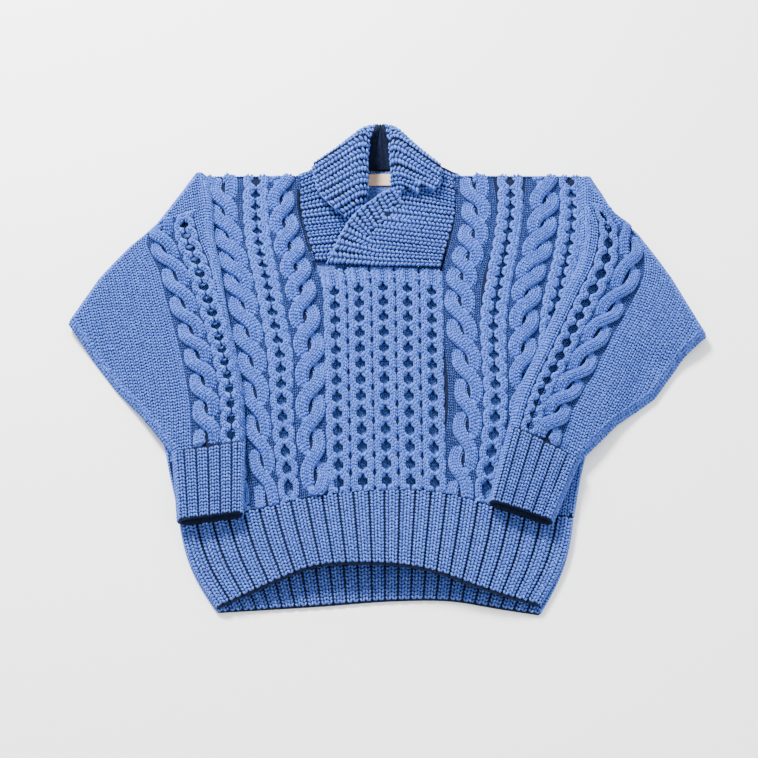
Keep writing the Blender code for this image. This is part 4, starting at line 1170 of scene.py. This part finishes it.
class CableColumn:
    """A rope cable: two strands that cross over each other, their lobes leaning one way."""

    def __init__(self, centre, half, lean, phase=0.0):
        self.centre, self.half, self.lean, self.phase = centre, half, lean, phase

    def add(self, place, v, tubes, stitches):
        middle, half = self.centre(v), self.half(v)
        pitch = row_pitch(place, middle, v)
        ends = np.minimum((v[-1] - v) / ROPE_TOP_TAPER, (v - v[0]) / ROPE_FOOT_TAPER + ROPE_FOOT_START)
        taper = np.sqrt(1 - (1 - np.clip(ends, 0.0, 1.0)) ** 2) * (1 - ROPE_TIP) + ROPE_TIP
        width, body = CABLE_STRAND * half, ROPE_BODY * ROPE_RISE
        for first in (0, 1):
            turn = np.pi * (v / LOBE_ROWS + first + self.phase)
            high = np.sin(turn)
            swing = np.cos(turn) * (1 + ROPE_SWING - ROPE_SWING * np.cos(turn) ** 2)
            u = middle - self.lean * swing * (half - width)
            rise = ROPE_BASE + 0.5 * ROPE_RISE * high
            over, along = strand(tubes, place, v, u, width, pitch, rise, body, ROPE_SIDES, taper)
            for share in ROPE_STITCHES:
                up_share = math.sqrt(1 - share**2)
                across, up = u + over * share * width * taper, v + along * share * width * taper
                seen = (high > ROPE_HIDDEN) & (up > v[0]) & (up < v[-1] - ROPE_TOP_GAP)
                stitches.add_line(place, across, up, rise + taper * body * up_share,
                                  ROPE_STITCH_SHARE * width, seen, plump=PLUMP,
                                  lean=(ROPE_LEAN * share, up_share))


def plain_columns(stitches, place, v, start, end, rise):
    """Plain stitches in columns side by side from one line of the surface to another."""
    width = knitting().stitch_width / CM
    low, high = start(v), end(v)
    way, room = np.sign(high - low), np.abs(high - low)
    for k in range(int(np.max(room) / width) + 1):
        out = (k + 0.5) * width
        stitches.add_line(place, low + way * out, v, rise, PLAIN_COVER * width, out < room)


def edge_columns(stitches, place, v, edge, inward):
    """Columns of stitches that follow a fold, over the ends of the plain columns beside it."""
    width = PLAIN_COVER * knitting().stitch_width / CM
    for inset in EDGE_INSETS:
        stitches.add_line(place, edge + inward * inset, v, SLEEVE_RISE, width)


def rim_columns(stitches, place, u, v, out):
    """Columns of stitches down the side face of a wall; out is -1 to the left and 1 to the right."""
    for depth in RIM_DEPTHS:
        off = np.tile((out, 0.0, 0.3), (len(v), 1))
        stitches.add_path(place(u, v, depth), off, PURL_WIDTH, PURL_STEP)


def purl_beside(purl, place, v, middle, half, by_collar=None):
    """Low stitches of the purl ground that shows on both sides of a cable, up to the collar's seam."""
    for side in (-1.0, 1.0):
        for out in PURL_PLACES:
            u = middle + side * (half + out)
            clear = None
            if by_collar and side == (1.0 if by_collar == "left" else -1.0):
                to_seam = side * (collar_seam(by_collar, place(u, v, PURL_RISE)[:, 1]) - u)
                clear = (v < NECK_ROW) | (to_seam > 0.5 * PURL_WIDTH)
            purl.add_line(place, u, v, PURL_RISE, PURL_WIDTH, clear, PURL_STEP, PURL_PLUMP)


def declare(piece, nodes, flat, area, with_pieces=()):
    """Puts a finished cloth piece, with what is knitted onto it, in the place of its solids."""
    for part in (piece, *with_pieces):
        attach(part, "root")
    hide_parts(*nodes)


# ---------------------------------------------------------------- front

def lace_centre(k):
    def centre(v):
        first, last = column_at_row("first_eyelet", v), column_at_row("last_eyelet", v)
        return first + (last - first) * k / (LACE_COLUMNS - 1)
    return centre


def front_columns():
    """The front's columns from left to right: name, centre line and half width at each row."""
    found = []
    for name in ("outer_eyelet_left", "outer_cable_left", "eyelet_left", "inner_cable_left"):
        found.append((name, lambda v, name=name: column_at_row(name, v)))
    for k in range(LACE_COLUMNS):
        found.append(("lace_%d" % k, lace_centre(k)))
    for name in ("inner_cable_right", "eyelet_right", "outer_cable_right", "outer_eyelet_right"):
        found.append((name, lambda v, name=name: column_at_row(name, v)))
    return [(name, centre, column_half(found, k)) for k, (name, centre) in enumerate(found)]


def column_half(found, k):
    """Half width of a column at each row, from the spacing to its neighbours."""
    name, centre = found[k]
    beside = [other for _, other in found[max(k - 1, 0):k] + found[k + 1:k + 2]]
    lace = [other for label, other in found if label.startswith("lace")]

    def half(v):
        if name.startswith("lace"):
            return LACE_SHARE * (lace[-1](v) - lace[0](v)) / (LACE_COLUMNS - 1)
        here = centre(v)
        gap = min((np.abs(other(v) - here) for other in beside), key=np.mean)
        if "cable" in name:
            return np.minimum(CABLE_SHARE * gap, WIDEST_CABLE)
        return np.minimum(EYELET_SHARE * gap, WIDEST_EYELET_COLUMN)
    return half


def front_knitting(columns, fine):
    """The front's cables, eyelet columns and stitches: strands, stitches and the eyelet columns by name."""
    tubes, stitches, strips = Tubes(), Stitches(), {}
    below_neck = fine[fine < LACE_END]
    for k, (name, centre, half) in enumerate(columns):
        is_lace = name.startswith("lace")
        if "cable" in name:
            cable = CableColumn(centre, half, CABLE_LEANS[name], ROPE_PHASE * k)
            cable.add(place_front, fine, tubes, stitches)
            continue
        last = LACE_ROWS - 1 if is_lace else EYELET_ROWS - 1
        strips[name] = EyeletColumn(centre, half, last, *(LACE_SHAPE if is_lace else BAND_SHAPE))
        strips[name].add(place_front, below_neck if is_lace else fine, tubes, stitches)
    lace = [centre(below_neck) for name, centre, _ in columns if name.startswith("lace")]
    joined = np.abs(below_neck - np.floor(below_neck) - 0.5) > NOTCH_REACH
    for left, right in zip(lace, lace[1:]):
        stitches.add_line(place_front, 0.5 * (left + right), below_neck, BRIDGE_HEIGHT, BRIDGE_WIDTH, joined,
                          plump=PLUMP)
    for (_, centre, half), (side, out) in zip((columns[0], columns[-1]), SIDES):
        plain_columns(stitches, place_front, fine, lambda v: centre(v) + out * half(v) * FRONT_PLAIN_START,
                      lambda v: column_at_row("side_" + side, v) - out * FRONT_PLAIN_END, FRONT_PLAIN_RISE)
    for side, out in SIDES:
        rim_columns(stitches, place_front, column_at_row("side_" + side, fine), fine, out)
    stitches.keep(lambda p: ~covered_by_sleeve(p))
    across = np.linspace(*(float(column_at_row("side_" + side, LAST_ROW)) for side, _ in SIDES), 90)
    for depth in SHOULDER_EDGE:
        path = place_front(across, np.full(len(across), LAST_ROW), depth)
        seam = [collar_seam(side, path[:, 1]) for side, _ in SIDES]
        for run in runs((across < seam[0]) | (across > seam[1])):
            off = np.tile((0.0, 1.0, 0.3), (len(path[run]), 1))
            stitches.add_path(path[run], off, PURL_WIDTH, PURL_STEP)
    return tubes, stitches, strips


def front_cloth(columns, strips):
    """The front's wall, cut at each eyelet and at the neck."""
    rows = [FIRST_ROW, -0.5]
    for row in range(EYELET_ROWS):
        rows += [row + EYELET_LENGTH * share for share in HOLE_LINES]
        rows += [row + 0.5] if row < EYELET_ROWS - 1 else []
    rows = np.array(rows + [LAST_ROW])
    in_neck = rows > NECK_ROW - EYELET_LENGTH - 0.01
    neck_heights = row_height(rows, BODY_MIDDLE + SEAM_REACH)
    left, right = (column_at_row("side_" + side, rows) for side, _ in SIDES)
    first = columns[0][1](rows) - columns[0][2](rows)
    lines = [("edge", left)] + [("plain", left + (first - left) * share) for share in (0.02, 0.25, 0.5, 0.75)]
    for name, centre, half_at in columns:
        here, half = centre(rows), half_at(rows)
        if name not in strips:
            lines += [(name + "_start", here - half), (name, here), (name + "_end", here + half)]
            continue
        hole = np.maximum(strips[name].hole(rows), NARROWEST_CUT)
        low, high = here - STRIP_SHARE * half, here + STRIP_SHARE * half
        if name == FIRST_LACE:
            low = np.where(in_neck, collar_seam("left", neck_heights) - SEAM_GROOVE, low)
        if name == LAST_LACE:
            high = np.where(in_neck, collar_seam("right", neck_heights) + SEAM_GROOVE, high)
        lines += [(name + "_start", low), (name + "_hole", here - hole), (name + "_far", here + hole),
                  (name + "_end", high)]
    last = lines[-1][1]
    lines += [("plain", last + (right - last) * share) for share in (0.25, 0.5, 0.75, 0.98)]
    lines.append(("edge", right))
    kinds = [kind for kind, _ in lines]
    u = np.stack([at for _, at in lines], axis=1)
    v = np.repeat(rows[:, None], u.shape[1], axis=1)
    drop = np.array([-EDGE_DROP if kind == "edge" else 0.0 for kind in kinds])[None]
    keep = np.ones((u.shape[0] - 1, u.shape[1] - 1), bool)
    for name, strip in strips.items():
        for row in range(min(strip.last + 1, EYELET_ROWS - 1)):
            i = int(np.argmin(np.abs(rows - (row - EYELET_LENGTH))))
            keep[i:i + 4, kinds.index(name + "_hole")] = False
    cut = int(np.argmin(np.abs(rows - (NECK_ROW - EYELET_LENGTH))))
    keep[cut:, kinds.index(FIRST_LACE + "_start"):kinds.index(LAST_LACE + "_end")] = False
    return wall_mesh("front", place_front(u, v, drop - CLOTH_DROP), place_front(u, v, INNER_FACE),
                     cloth_below_in_painted_shade(), keep)


def build_front():
    """The front: a wall with its eyelets cut, rope cables, eyelet columns and stitches on it."""
    columns = front_columns()
    fine = np.arange(FIRST_ROW + 0.02, LAST_ROW + 1e-6, ROW_STEP)
    tubes, stitches, strips = front_knitting(columns, fine)
    cloth = front_cloth(columns, strips)
    raised = tubes.build("front_cables_and_eyelet_bands", yarn())
    knitted = knit("front_stitches", stitches, yarn())
    purl = Stitches()
    for name, centre, half in columns:
        if "cable" in name:
            by_collar = name.split("_")[-1] if name.startswith("inner") else None
            purl_beside(purl, place_front, fine, centre(fine), half(fine), by_collar)
    purl.keep(lambda p: ~covered_by_sleeve(p))
    ground = knit("front_purl_stitches", purl, purl_yarn_in_painted_shade(), 8)
    declare(cloth, ["front"], (0.66, 0.55), 0.29, (raised, knitted, ground))


# ---------------------------------------------------------------- hem ribs and back

def rib_rise(f):
    """Rise of a rib at each share of its pitch: a narrow groove between broad round ribs."""
    t = np.abs(2 * (f % 1.0) - 1)
    return 1 - t**4


def rib_lines(ribs):
    """Places of the lines that shape each rib, counted in ribs."""
    return np.concatenate([k + np.array(RIB_STEPS) for k in range(ribs)] + [[float(ribs)]])


def rib_stitches(stitches, place, ribs, rows, rise, groove):
    """Two columns of stitches on each rib."""
    for rib in range(ribs):
        for share, tilt in RIB_STITCHES:
            u = np.full(len(rows), rib + share)
            lift = rise * float(rib_rise(np.array(share))) - groove
            half_rib = np.linalg.norm(place(u + 0.5, rows, lift) - place(u, rows, lift), axis=1)
            stitches.add_line(place, u, rows, lift, half_rib * RIB_COVER, lean=(tilt, 1.0))


def build_hem():
    """The hem's two ribbed bands: the front one arched over the back one."""
    bands = (
        # name, place, inner face, cloth's relief, stitch rows, their relief, seed, flat size, area, under it
        ("front_rib", rib_place(FRONT_HEM, front_underside, WALL), INNER_FACE, (0.42, 0.16),
         np.linspace(0.01, 0.99, 30), (0.26, 0.0), 2, (0.50, 0.13), 0.056, "back_rib"),
        ("back_rib", rib_place(BACK_HEM, lambda x, y: 0.0 * x, BACK_WALL), -BACK_WALL, (0.16, 0.18),
         np.linspace(0.005, 0.62, 24), (0.16, 0.18), 3, (0.50, 0.135), 0.060, "ground"),
    )
    for name, place, inner, shell, rows, relief, seed, flat, area, rests_on in bands:
        u, v = np.meshgrid(rib_lines(HEM_RIBS), np.linspace(0.0, 1.0, 14))
        outer = place(u, v, shell[0] * rib_rise(u) - shell[1])
        cloth = wall_mesh(name, outer, place(u, v, inner), cloth_below_in_painted_shade())
        stitches = Stitches()
        rib_stitches(stitches, place, HEM_RIBS, rows, *relief)
        down_sides = np.linspace(0.01, 0.99, 30)
        for end, out in ((0.0, -1.0), (float(HEM_RIBS), 1.0)):
            rim_columns(stitches, place, np.full(len(down_sides), end), down_sides, out)
        if name == "front_rib":
            stitches.keep(lambda p: ~covered_by_sleeve(p))
        knitted = knit(name + "_stitches", stitches, yarn(), seed)
        declare(cloth, [name], flat, area, (knitted,))


def back_neck_top(x):
    ramp = ease((BACK_NECK_HALF + NECK_RAMP - np.abs(x)) / NECK_RAMP)
    return SHOULDER_HEIGHT + (BACK_NECK_HEIGHT - SHOULDER_HEIGHT) * ramp


def build_back():
    """The back: one wall flat on the surface, plain knitting on both faces."""
    shares = np.linspace(0.0, 1.0, HEM_RIBS * 3 + 1)
    heights = np.concatenate([[HEIGHTS[0]], np.linspace(-17.0, 31.5, 45), [SHOULDER_HEIGHT]])
    left, right = (side_of_body(side, heights)[:, None] for side, _ in SIDES)
    xs = left * (1 - shares) + right * shares
    ys = np.repeat(heights[:, None], len(shares), axis=1)
    xs[0] = FRONT_RIB_TOP[0][0] * (1 - shares) + FRONT_RIB_TOP[-1][0] * shares
    ys[0] = line(FRONT_RIB_TOP, xs[0]) + SEAM
    ys[-1] = back_neck_top(xs[-1])
    outer = np.stack([xs, ys, np.full(xs.shape, BACK_WALL - 0.03)], axis=-1)
    outer[:, [0, -1], 2] -= 0.12
    inner = np.stack([xs, ys, np.zeros(xs.shape)], axis=-1)
    cloth = wall_mesh("back", outer, inner, plain_knit())
    declare(cloth, ["back"], (0.66, 0.56), 0.325)


# ---------------------------------------------------------------- sleeves and cuffs

def sleeve_cloth(side, place, first, last, columns, band):
    """A folded sleeve's upper wall, cut at each eyelet, and the area of its outer face."""
    eyelet, cable, plain = columns
    rows = [first, -0.5]
    for row in range(SLEEVE_EYELETS):
        rows += [row + EYELET_LENGTH * share for share in HOLE_LINES] + [row + 0.5]
    rows = np.array([r for r in rows if first <= r < last] + [last])
    corner = sleeve_row(CORNER_PART)
    between = np.abs(rows - np.round(rows)) > EYELET_LENGTH + 0.03
    nearest = int(np.argmin(np.where(between, np.abs(rows - corner), 9.0)))
    rows[nearest] = corner if abs(rows[nearest] - corner) < 0.24 else rows[nearest]
    width, hole = sleeve_width(side, rows), np.maximum(band.hole(rows), NARROWEST_SLEEVE_CUT)
    here, seam = eyelet(rows), plain(rows)
    start, end = here - band.half(rows), here + band.half(rows)
    lines = [0 * rows, 0.12 + 0 * rows, 0.3 + 0 * rows, 0.5 * (0.3 + start), start, here - hole, here + hole,
             end, cable(rows), seam]
    lines = [at + LINE_GAP * k for k, at in enumerate(np.maximum.accumulate(np.stack(lines), axis=0))]
    rest = width - seam
    lines += [seam + rest * share + 0.05 for share in (0.15, 0.3, 0.45, 0.6, 0.75, 0.86)]
    lines += [width - np.minimum(inset, 0.1 * rest) for inset in (0.9, 0.45, 0.18, 0.05)]
    u = np.stack(lines + [width], axis=1)
    keep = np.ones((u.shape[0] - 1, u.shape[1] - 1), bool)
    for row in range(SLEEVE_EYELETS):
        i = int(np.argmin(np.abs(rows - (row - EYELET_LENGTH))))
        keep[i:i + 4, 5] = False
    outer, inner = fold_faces(place, u, rows, width, -CLOTH_DROP)
    return wall_mesh("sleeve_" + side, outer, inner, cloth_below_in_painted_shade(), keep), grid_area(outer)


def fold_faces(place, u, rows, width, rise):
    """Outer and inner points of a folded layer, the inner ones a wall's thickness in from its edges."""
    v = np.repeat(rows[:, None], u.shape[1], axis=1)
    full = np.repeat(width[:, None], u.shape[1], axis=1)
    return place(u, v, rise), place(np.clip(u, WALL, full - WALL), v, 0.0, "inner")


def build_sleeve(side):
    """A folded sleeve: upper wall with eyelets and cable, hidden lower layer, start, and shoulder fold."""
    place = sleeve_place(side)
    first, last = sleeve_row(SLEEVE_END_GAP), sleeve_row(1 - SLEEVE_END_GAP)
    fine = np.arange(first, last, ROW_STEP)
    tubes, stitches = Tubes(), Stitches()
    eyelet, cable, plain = (lambda v, name=name: sleeve_reach(side, name, v)
                            for name in ("eyelet", "cable", "plain"))
    band = EyeletColumn(eyelet, lambda v: np.minimum(1.6, 0.45 * (cable(v) - eyelet(v)) + 0.05),
                        SLEEVE_EYELETS - 1, *SLEEVE_BAND_SHAPE)
    band.add(place, fine, tubes, stitches)
    rope = CableColumn(cable, lambda v: np.minimum(1.9, 0.95 * (plain(v) - cable(v)) + 0.2), SLEEVE_LEAN)
    rope.add(place, fine, tubes, stitches)
    plain_columns(stitches, place, fine, lambda v: plain(v) + 0.15, lambda v: sleeve_width(side, v) - 0.1,
                  SLEEVE_RISE)
    edge_columns(stitches, place, fine, sleeve_width(side, fine), -1.0)
    edge_columns(stitches, place, fine, 0.0 * fine, 1.0)
    plain_columns(stitches, place, fine, lambda v: eyelet(v) - band.half(v) - 0.1, lambda v: 0.0 * v + 0.1,
                  SLEEVE_RISE)
    cloth, area = sleeve_cloth(side, place, first, last, (eyelet, cable, plain), band)
    raised = tubes.build("sleeve_%s_cable_and_eyelet_band" % side, yarn())
    knitted = knit("sleeve_%s_stitches" % side, stitches, yarn(), 4)
    purl = Stitches()
    purl_beside(purl, place, fine, cable(fine), rope.half(fine))
    ground = knit("sleeve_%s_purl_stitches" % side, purl, purl_yarn_in_painted_shade(), 9)
    declare(cloth, ["sleeve_" + side], (0.24, 0.40), area,
            (raised, knitted, ground))
    build_under_layer(side)
    build_root(side)
    build_shoulder_fold(side, place)


def build_under_layer(side):
    """The hidden lower layer of a folded sleeve, lying on the body."""
    parts = np.linspace(0.01, 0.99, 40)
    inner_edge, outer_edge = sleeve_edge(side, "inner", parts), sleeve_edge(side, "outer", parts)
    width = np.linalg.norm(outer_edge - inner_edge, axis=-1)
    inset = WALL + UNDER_INSET[side]
    distance = inset + np.linspace(0.0, 1.0, 25)[None] * (width - 2 * inset)[:, None]
    share = (distance / width[:, None])[..., None]
    plan = inner_edge[:, None] * (1 - share) + outer_edge[:, None] * share
    low = np.concatenate([plan, floor_under_sleeve(plan[..., 0], plan[..., 1])[..., None]], axis=-1)
    cloth = wall_mesh("sleeve_%s_under" % side, low + (0.0, 0.0, UNDER_WALL), low, plain_knit())
    declare(cloth, ["sleeve_%s_under" % side], (0.24, 0.40), 0.055)


def build_root(side):
    """The unfolded start of a sleeve: two layers, rounded at their edges, with a groove between."""
    corners = np.array(root_outline(side), float)
    sides = zip(corners, np.roll(corners, -1, axis=0))
    ring = np.array([a + (b - a) * k / ROOT_SIDE_STEPS for a, b in sides for k in range(ROOT_SIDE_STEPS)])
    inward = ring.mean(axis=0) - ring
    inward /= np.linalg.norm(inward, axis=1)[:, None]
    levels = [np.column_stack([ring + inward * inset, np.full(len(ring), z)]) for inset, z in ROOT_PROFILE]
    tubes = Tubes()
    tubes.add(np.array(levels))
    cloth = tubes.build("sleeve_%s_root" % side, plain_knit())
    declare(cloth, ["sleeve_%s_root" % side], (0.13, 0.20), 0.010)


def build_shoulder_fold(side, place):
    """The strip of the back that the fold brings over the shoulder, above the armhole seam."""
    rows = sleeve_row(np.linspace(SHOULDER_FOLD_PART, -SLEEVE_END_GAP, 12))
    width = sleeve_width(side, rows)
    shares = np.array([0.0, 0.015, 0.05, 0.12, 0.25, 0.4, 0.55, 0.7, 0.82, 0.91, 0.96, 0.99, 1.0])
    outer, inner = fold_faces(place, shares[None] * width[:, None], rows, width, -0.03)
    cloth = wall_mesh("back_fold_" + side, outer, inner, cloth_below_in_painted_shade())
    stitches = Stitches()
    plain_columns(stitches, place, rows, lambda v: 0.0 * v + 0.15, lambda v: sleeve_width(side, v) - 0.1,
                  SLEEVE_RISE)
    edge_columns(stitches, place, rows, width, -1.0)
    edge_columns(stitches, place, rows, 0.0 * rows, 1.0)
    knitted = knit("back_fold_%s_stitches" % side, stitches, yarn(), 5)
    area = 0.0042 if side == "left" else 0.0022
    flat = (0.08, 0.10) if side == "left" else (0.05, 0.08)
    declare(cloth, ["back_fold_" + side], flat, area, (knitted,))


def build_cuff(side):
    """A ribbed tube, flattened, going on from the sleeve to its open mouth."""
    ribs = CUFF_RIBS_SEEN
    u = rib_lines(ribs)
    relief = CUFF_RELIEF[0] * rib_rise(u) - CUFF_RELIEF[1]
    upper_face, lower_face = cuff_place(side, True), cuff_place(side, False)
    along = np.linspace(0.0, 1.0, 12)
    rings = []
    for inset, lengths, lift in ((0.0, along, relief), (WALL, along[::-1], 0.0 * relief)):
        for v in lengths:
            upper = upper_face(u[:-1] / ribs, v, lift[:-1], inset)
            lower = lower_face(u[:0:-1] / ribs, v, CUFF_UNDER_SHARE * lift[:0:-1], inset)
            rings.append(np.vstack([upper, lower]))
    rings = np.array(rings)
    count = rings.shape[1]
    last = (len(rings) - 1) * count
    quads = grid_faces(len(rings), count, 0, ring=True)
    quads += [[last + k, last + (k + 1) % count, (k + 1) % count, k] for k in range(count)]
    cloth = new_mesh("cuff_" + side, rings.reshape(-1, 3), quads, cloth_below_in_painted_shade())
    stitches = Stitches()
    rows = np.linspace(0.01, 0.99, 24)

    def upper_place(u, v, rise):
        return upper_face(np.asarray(u, float) / ribs, v, rise)

    rib_stitches(stitches, upper_place, ribs, rows, *CUFF_RELIEF)
    for inset in CUFF_SIDE_RIBS:
        for rib in (inset, ribs - inset):
            at = np.full(len(rows), rib)
            off = outward_of(upper_place, at, rows, 0.0)
            stitches.add_path(lower_face(at / ribs, rows, 0.0), off * (1.0, 1.0, -1.0), PURL_WIDTH, PURL_STEP)
            if inset < CUFF_SIDE_RIBS[-1]:
                stitches.add_path(upper_place(at, rows, 0.0), off, PURL_WIDTH, PURL_STEP)
    knitted = knit("cuff_%s_stitches" % side, stitches, yarn(), 6)
    declare(cloth, ["cuff_" + side], (0.19, 0.105), 0.0185, (knitted,))


# ---------------------------------------------------------------- collar, tab and stage

def build_collar():
    """The shawl collar: one ribbed strip that stands, turns over and laps across the front."""
    stations = collar_stations(COLLAR_RIBS * COLLAR_STEPS)
    across = np.linspace(0.0, COLLAR_ACROSS_END, COLLAR_ACROSS_POINTS)
    middle = np.swapaxes(collar_middle(stations, across), 0, 1)
    along, over = np.gradient(middle, axis=0), np.gradient(middle, axis=1)
    normal = np.cross(over, along)
    normal /= np.linalg.norm(normal, axis=2)[:, :, None]
    ridge = COLLAR_RELIEF[0] * rib_rise(np.arange(len(stations)) / COLLAR_STEPS)[:, None] - COLLAR_RELIEF[1]
    half_wall = (0.5 * COLLAR_WALL - CLOTH_DROP + ridge)[:, :, None]
    face, reverse = middle + normal * half_wall, middle - normal * half_wall
    cloth = wall_mesh("collar", face, reverse, cloth_below_in_painted_shade())
    stitches = Stitches()
    rib_width = np.linalg.norm(along, axis=2) * COLLAR_STEPS
    for sheet, way in ((face, 1.0), (reverse, -1.0)):
        for rib in range(COLLAR_RIBS):
            index = rib * COLLAR_STEPS + COLLAR_STEPS // 2
            # Inside the neck the stand gets no stitches on either face, so its dark cloth shows as painted
            # shade in the neck slot
            stand_bare_for_neck_shade = NECK_STATIONS[0] < stations[index] < NECK_STATIONS[1]
            seen = slice(STAND_STEPS if stand_bare_for_neck_shade else 0, None)
            stitches.add_path(sheet[index, seen], way * normal[index, seen],
                              rib_width[index, seen] * COLLAR_COVER, knitting().collar_course / CM,
                              COLLAR_PLUMP)
    knitted = knit("collar_stitches", stitches, yarn(), 7)
    cord = Tubes()
    turn = 2 * np.pi * np.arange(CORD_SIDES) / CORD_SIDES
    out = over[:, -1] / np.linalg.norm(over[:, -1], axis=1)[:, None]
    cord.add(middle[:, -1][:, None] + CORD_HALF * (1.2 * np.cos(turn)[None, :, None] * normal[:, -1][:, None]
                                                   + np.sin(turn)[None, :, None] * out[:, None]))
    edge = cord.build("collar_bound_edge", yarn())
    declare(cloth, ["collar"], (0.17, 0.62), 0.095, (knitted, edge))


def build_label():
    """A small blank tab of woven tape inside the back neck."""
    width, depth = LABEL_SIZE
    x, y = LABEL_PLACE
    across, down = np.meshgrid(np.linspace(-0.5, 0.5, 25), np.linspace(-0.5, 0.5, 9))
    z = BACK_WALL + 0.04 + 0.06 * (1 - 4 * across**2) + 0.012 * np.sin(9 * across) * (0.5 - down)
    low = np.stack([x + across * width, y + down * depth, z], axis=-1)
    tab = wall_mesh("neck_label", low + (0.0, 0.0, LABEL_THICKNESS), low, tab_cloth())
    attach(tab, "root")
    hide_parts("neck_label")


def look_along(direction):
    return Vector(direction).to_track_quat("-Z", "Y").to_euler()


def build_stage():
    """Pale floor, soft light and the camera."""
    settings = bpy.context.scene.sweater_stage
    mesh = bpy.data.meshes.new("floor")
    corners = [(x * FLOOR_HALF, y * FLOOR_HALF, FLOOR_HEIGHT)
               for x, y in ((-1, -1), (1, -1), (1, 1), (-1, 1))]
    mesh.from_pydata(corners, [], [(0, 1, 2, 3)])
    material, _ = new_material("pale_floor", Base_Color=(*settings.floor, 1.0), Roughness=0.9,
                               Specular_IOR_Level=0.1)
    mesh.materials.append(material)
    floor = add_object("floor", mesh)

    world = bpy.data.worlds.new("studio")
    bpy.context.scene.world = world
    world.use_nodes = True
    sky = world.node_tree.nodes["Background"].inputs
    sky["Color"].default_value, sky["Strength"].default_value = SKY_COLOUR, SKY_STRENGTH
    for name, place, size, power in LIGHTS:
        light = bpy.data.lights.new(name, "AREA")
        light.size, light.energy = size, power
        lamp = add_object(name, light)
        lamp.location = place
        lamp.rotation_euler = look_along(-np.array(place))
    camera = add_object("camera", bpy.data.cameras.new("camera"))
    camera.data.sensor_width = 36.0
    camera.data.lens = settings.lens
    back = np.array([0.0, -math.cos(settings.camera_height), math.sin(settings.camera_height)])
    camera.location = np.array([OFFSET[0], OFFSET[1], 0.0]) + back * settings.camera_distance
    camera.rotation_euler = look_along(-back)
    bpy.context.scene.camera = camera


# ---------------------------------------------------------------- operators and panel

class SWEATER_OT_front(bpy.types.Operator):
    """Builds the front with its cables, eyelets and stitches"""

    bl_idname = "sweater.front"
    bl_label = "Front"

    def execute(self, context):
        build_front()
        return {"FINISHED"}


class SWEATER_OT_hem(bpy.types.Operator):
    """Builds the two ribbed bands of the hem"""

    bl_idname = "sweater.hem"
    bl_label = "Hem ribs"

    def execute(self, context):
        build_hem()
        return {"FINISHED"}


class SWEATER_OT_back(bpy.types.Operator):
    """Builds the back that the sweater lies on"""

    bl_idname = "sweater.back"
    bl_label = "Back"

    def execute(self, context):
        build_back()
        return {"FINISHED"}


class SWEATER_OT_sleeves(bpy.types.Operator):
    """Builds the two folded sleeves and their shoulder folds"""

    bl_idname = "sweater.sleeves"
    bl_label = "Sleeves"

    def execute(self, context):
        for side in ("left", "right"):
            build_sleeve(side)
        return {"FINISHED"}


class SWEATER_OT_cuffs(bpy.types.Operator):
    """Builds the two ribbed cuffs"""

    bl_idname = "sweater.cuffs"
    bl_label = "Cuffs"

    def execute(self, context):
        for side in ("left", "right"):
            build_cuff(side)
        return {"FINISHED"}


class SWEATER_OT_collar(bpy.types.Operator):
    """Builds the lapped shawl collar"""

    bl_idname = "sweater.collar"
    bl_label = "Shawl collar"

    def execute(self, context):
        build_collar()
        return {"FINISHED"}


class SWEATER_OT_label(bpy.types.Operator):
    """Builds the blank neck tab"""

    bl_idname = "sweater.label"
    bl_label = "Neck tab"

    def execute(self, context):
        build_label()
        return {"FINISHED"}


class SWEATER_OT_stage(bpy.types.Operator):
    """Builds the floor, the light and the camera"""

    bl_idname = "sweater.stage"
    bl_label = "Stage"

    def execute(self, context):
        build_stage()
        return {"FINISHED"}


OPERATORS = (SWEATER_OT_front, SWEATER_OT_hem, SWEATER_OT_back, SWEATER_OT_sleeves, SWEATER_OT_cuffs,
             SWEATER_OT_collar, SWEATER_OT_label, SWEATER_OT_stage)


class SWEATER_PT_panel(bpy.types.Panel):
    """Lists the sweater's pieces and sizes"""

    bl_label = "Shawl collar sweater"
    bl_idname = "SWEATER_PT_panel"
    bl_space_type = "VIEW_3D"
    bl_region_type = "UI"
    bl_category = "Sweater"

    def draw(self, context):
        scene = context.scene
        for settings in (scene.sweater_knitting, scene.sweater_wool, scene.sweater_stage):
            box = self.layout.box()
            for name in settings.bl_rna.properties.keys():
                if name not in ("rna_type", "name"):
                    box.prop(settings, name)
        for operator in OPERATORS:
            self.layout.operator(operator.bl_idname)


GROUPS = {"sweater_knitting": SweaterKnitting, "sweater_wool": SweaterWool, "sweater_stage": SweaterStage}


def register():
    for group in GROUPS.values():
        bpy.utils.register_class(group)
    for name, group in GROUPS.items():
        setattr(bpy.types.Scene, name, bpy.props.PointerProperty(type=group))
    for item in (*OPERATORS, SWEATER_PT_panel):
        bpy.utils.register_class(item)


def unregister():
    for item in reversed((*OPERATORS, SWEATER_PT_panel)):
        bpy.utils.unregister_class(item)
    for name, group in GROUPS.items():
        delattr(bpy.types.Scene, name)
        bpy.utils.unregister_class(group)


def main():
    register()
    bpy.ops.sweater.back()
    bpy.ops.sweater.front()
    bpy.ops.sweater.hem()
    bpy.ops.sweater.sleeves()
    bpy.ops.sweater.cuffs()
    bpy.ops.sweater.collar()
    bpy.ops.sweater.label()
    bpy.ops.sweater.stage()
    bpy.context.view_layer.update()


if __name__ == "__main__":
    main()
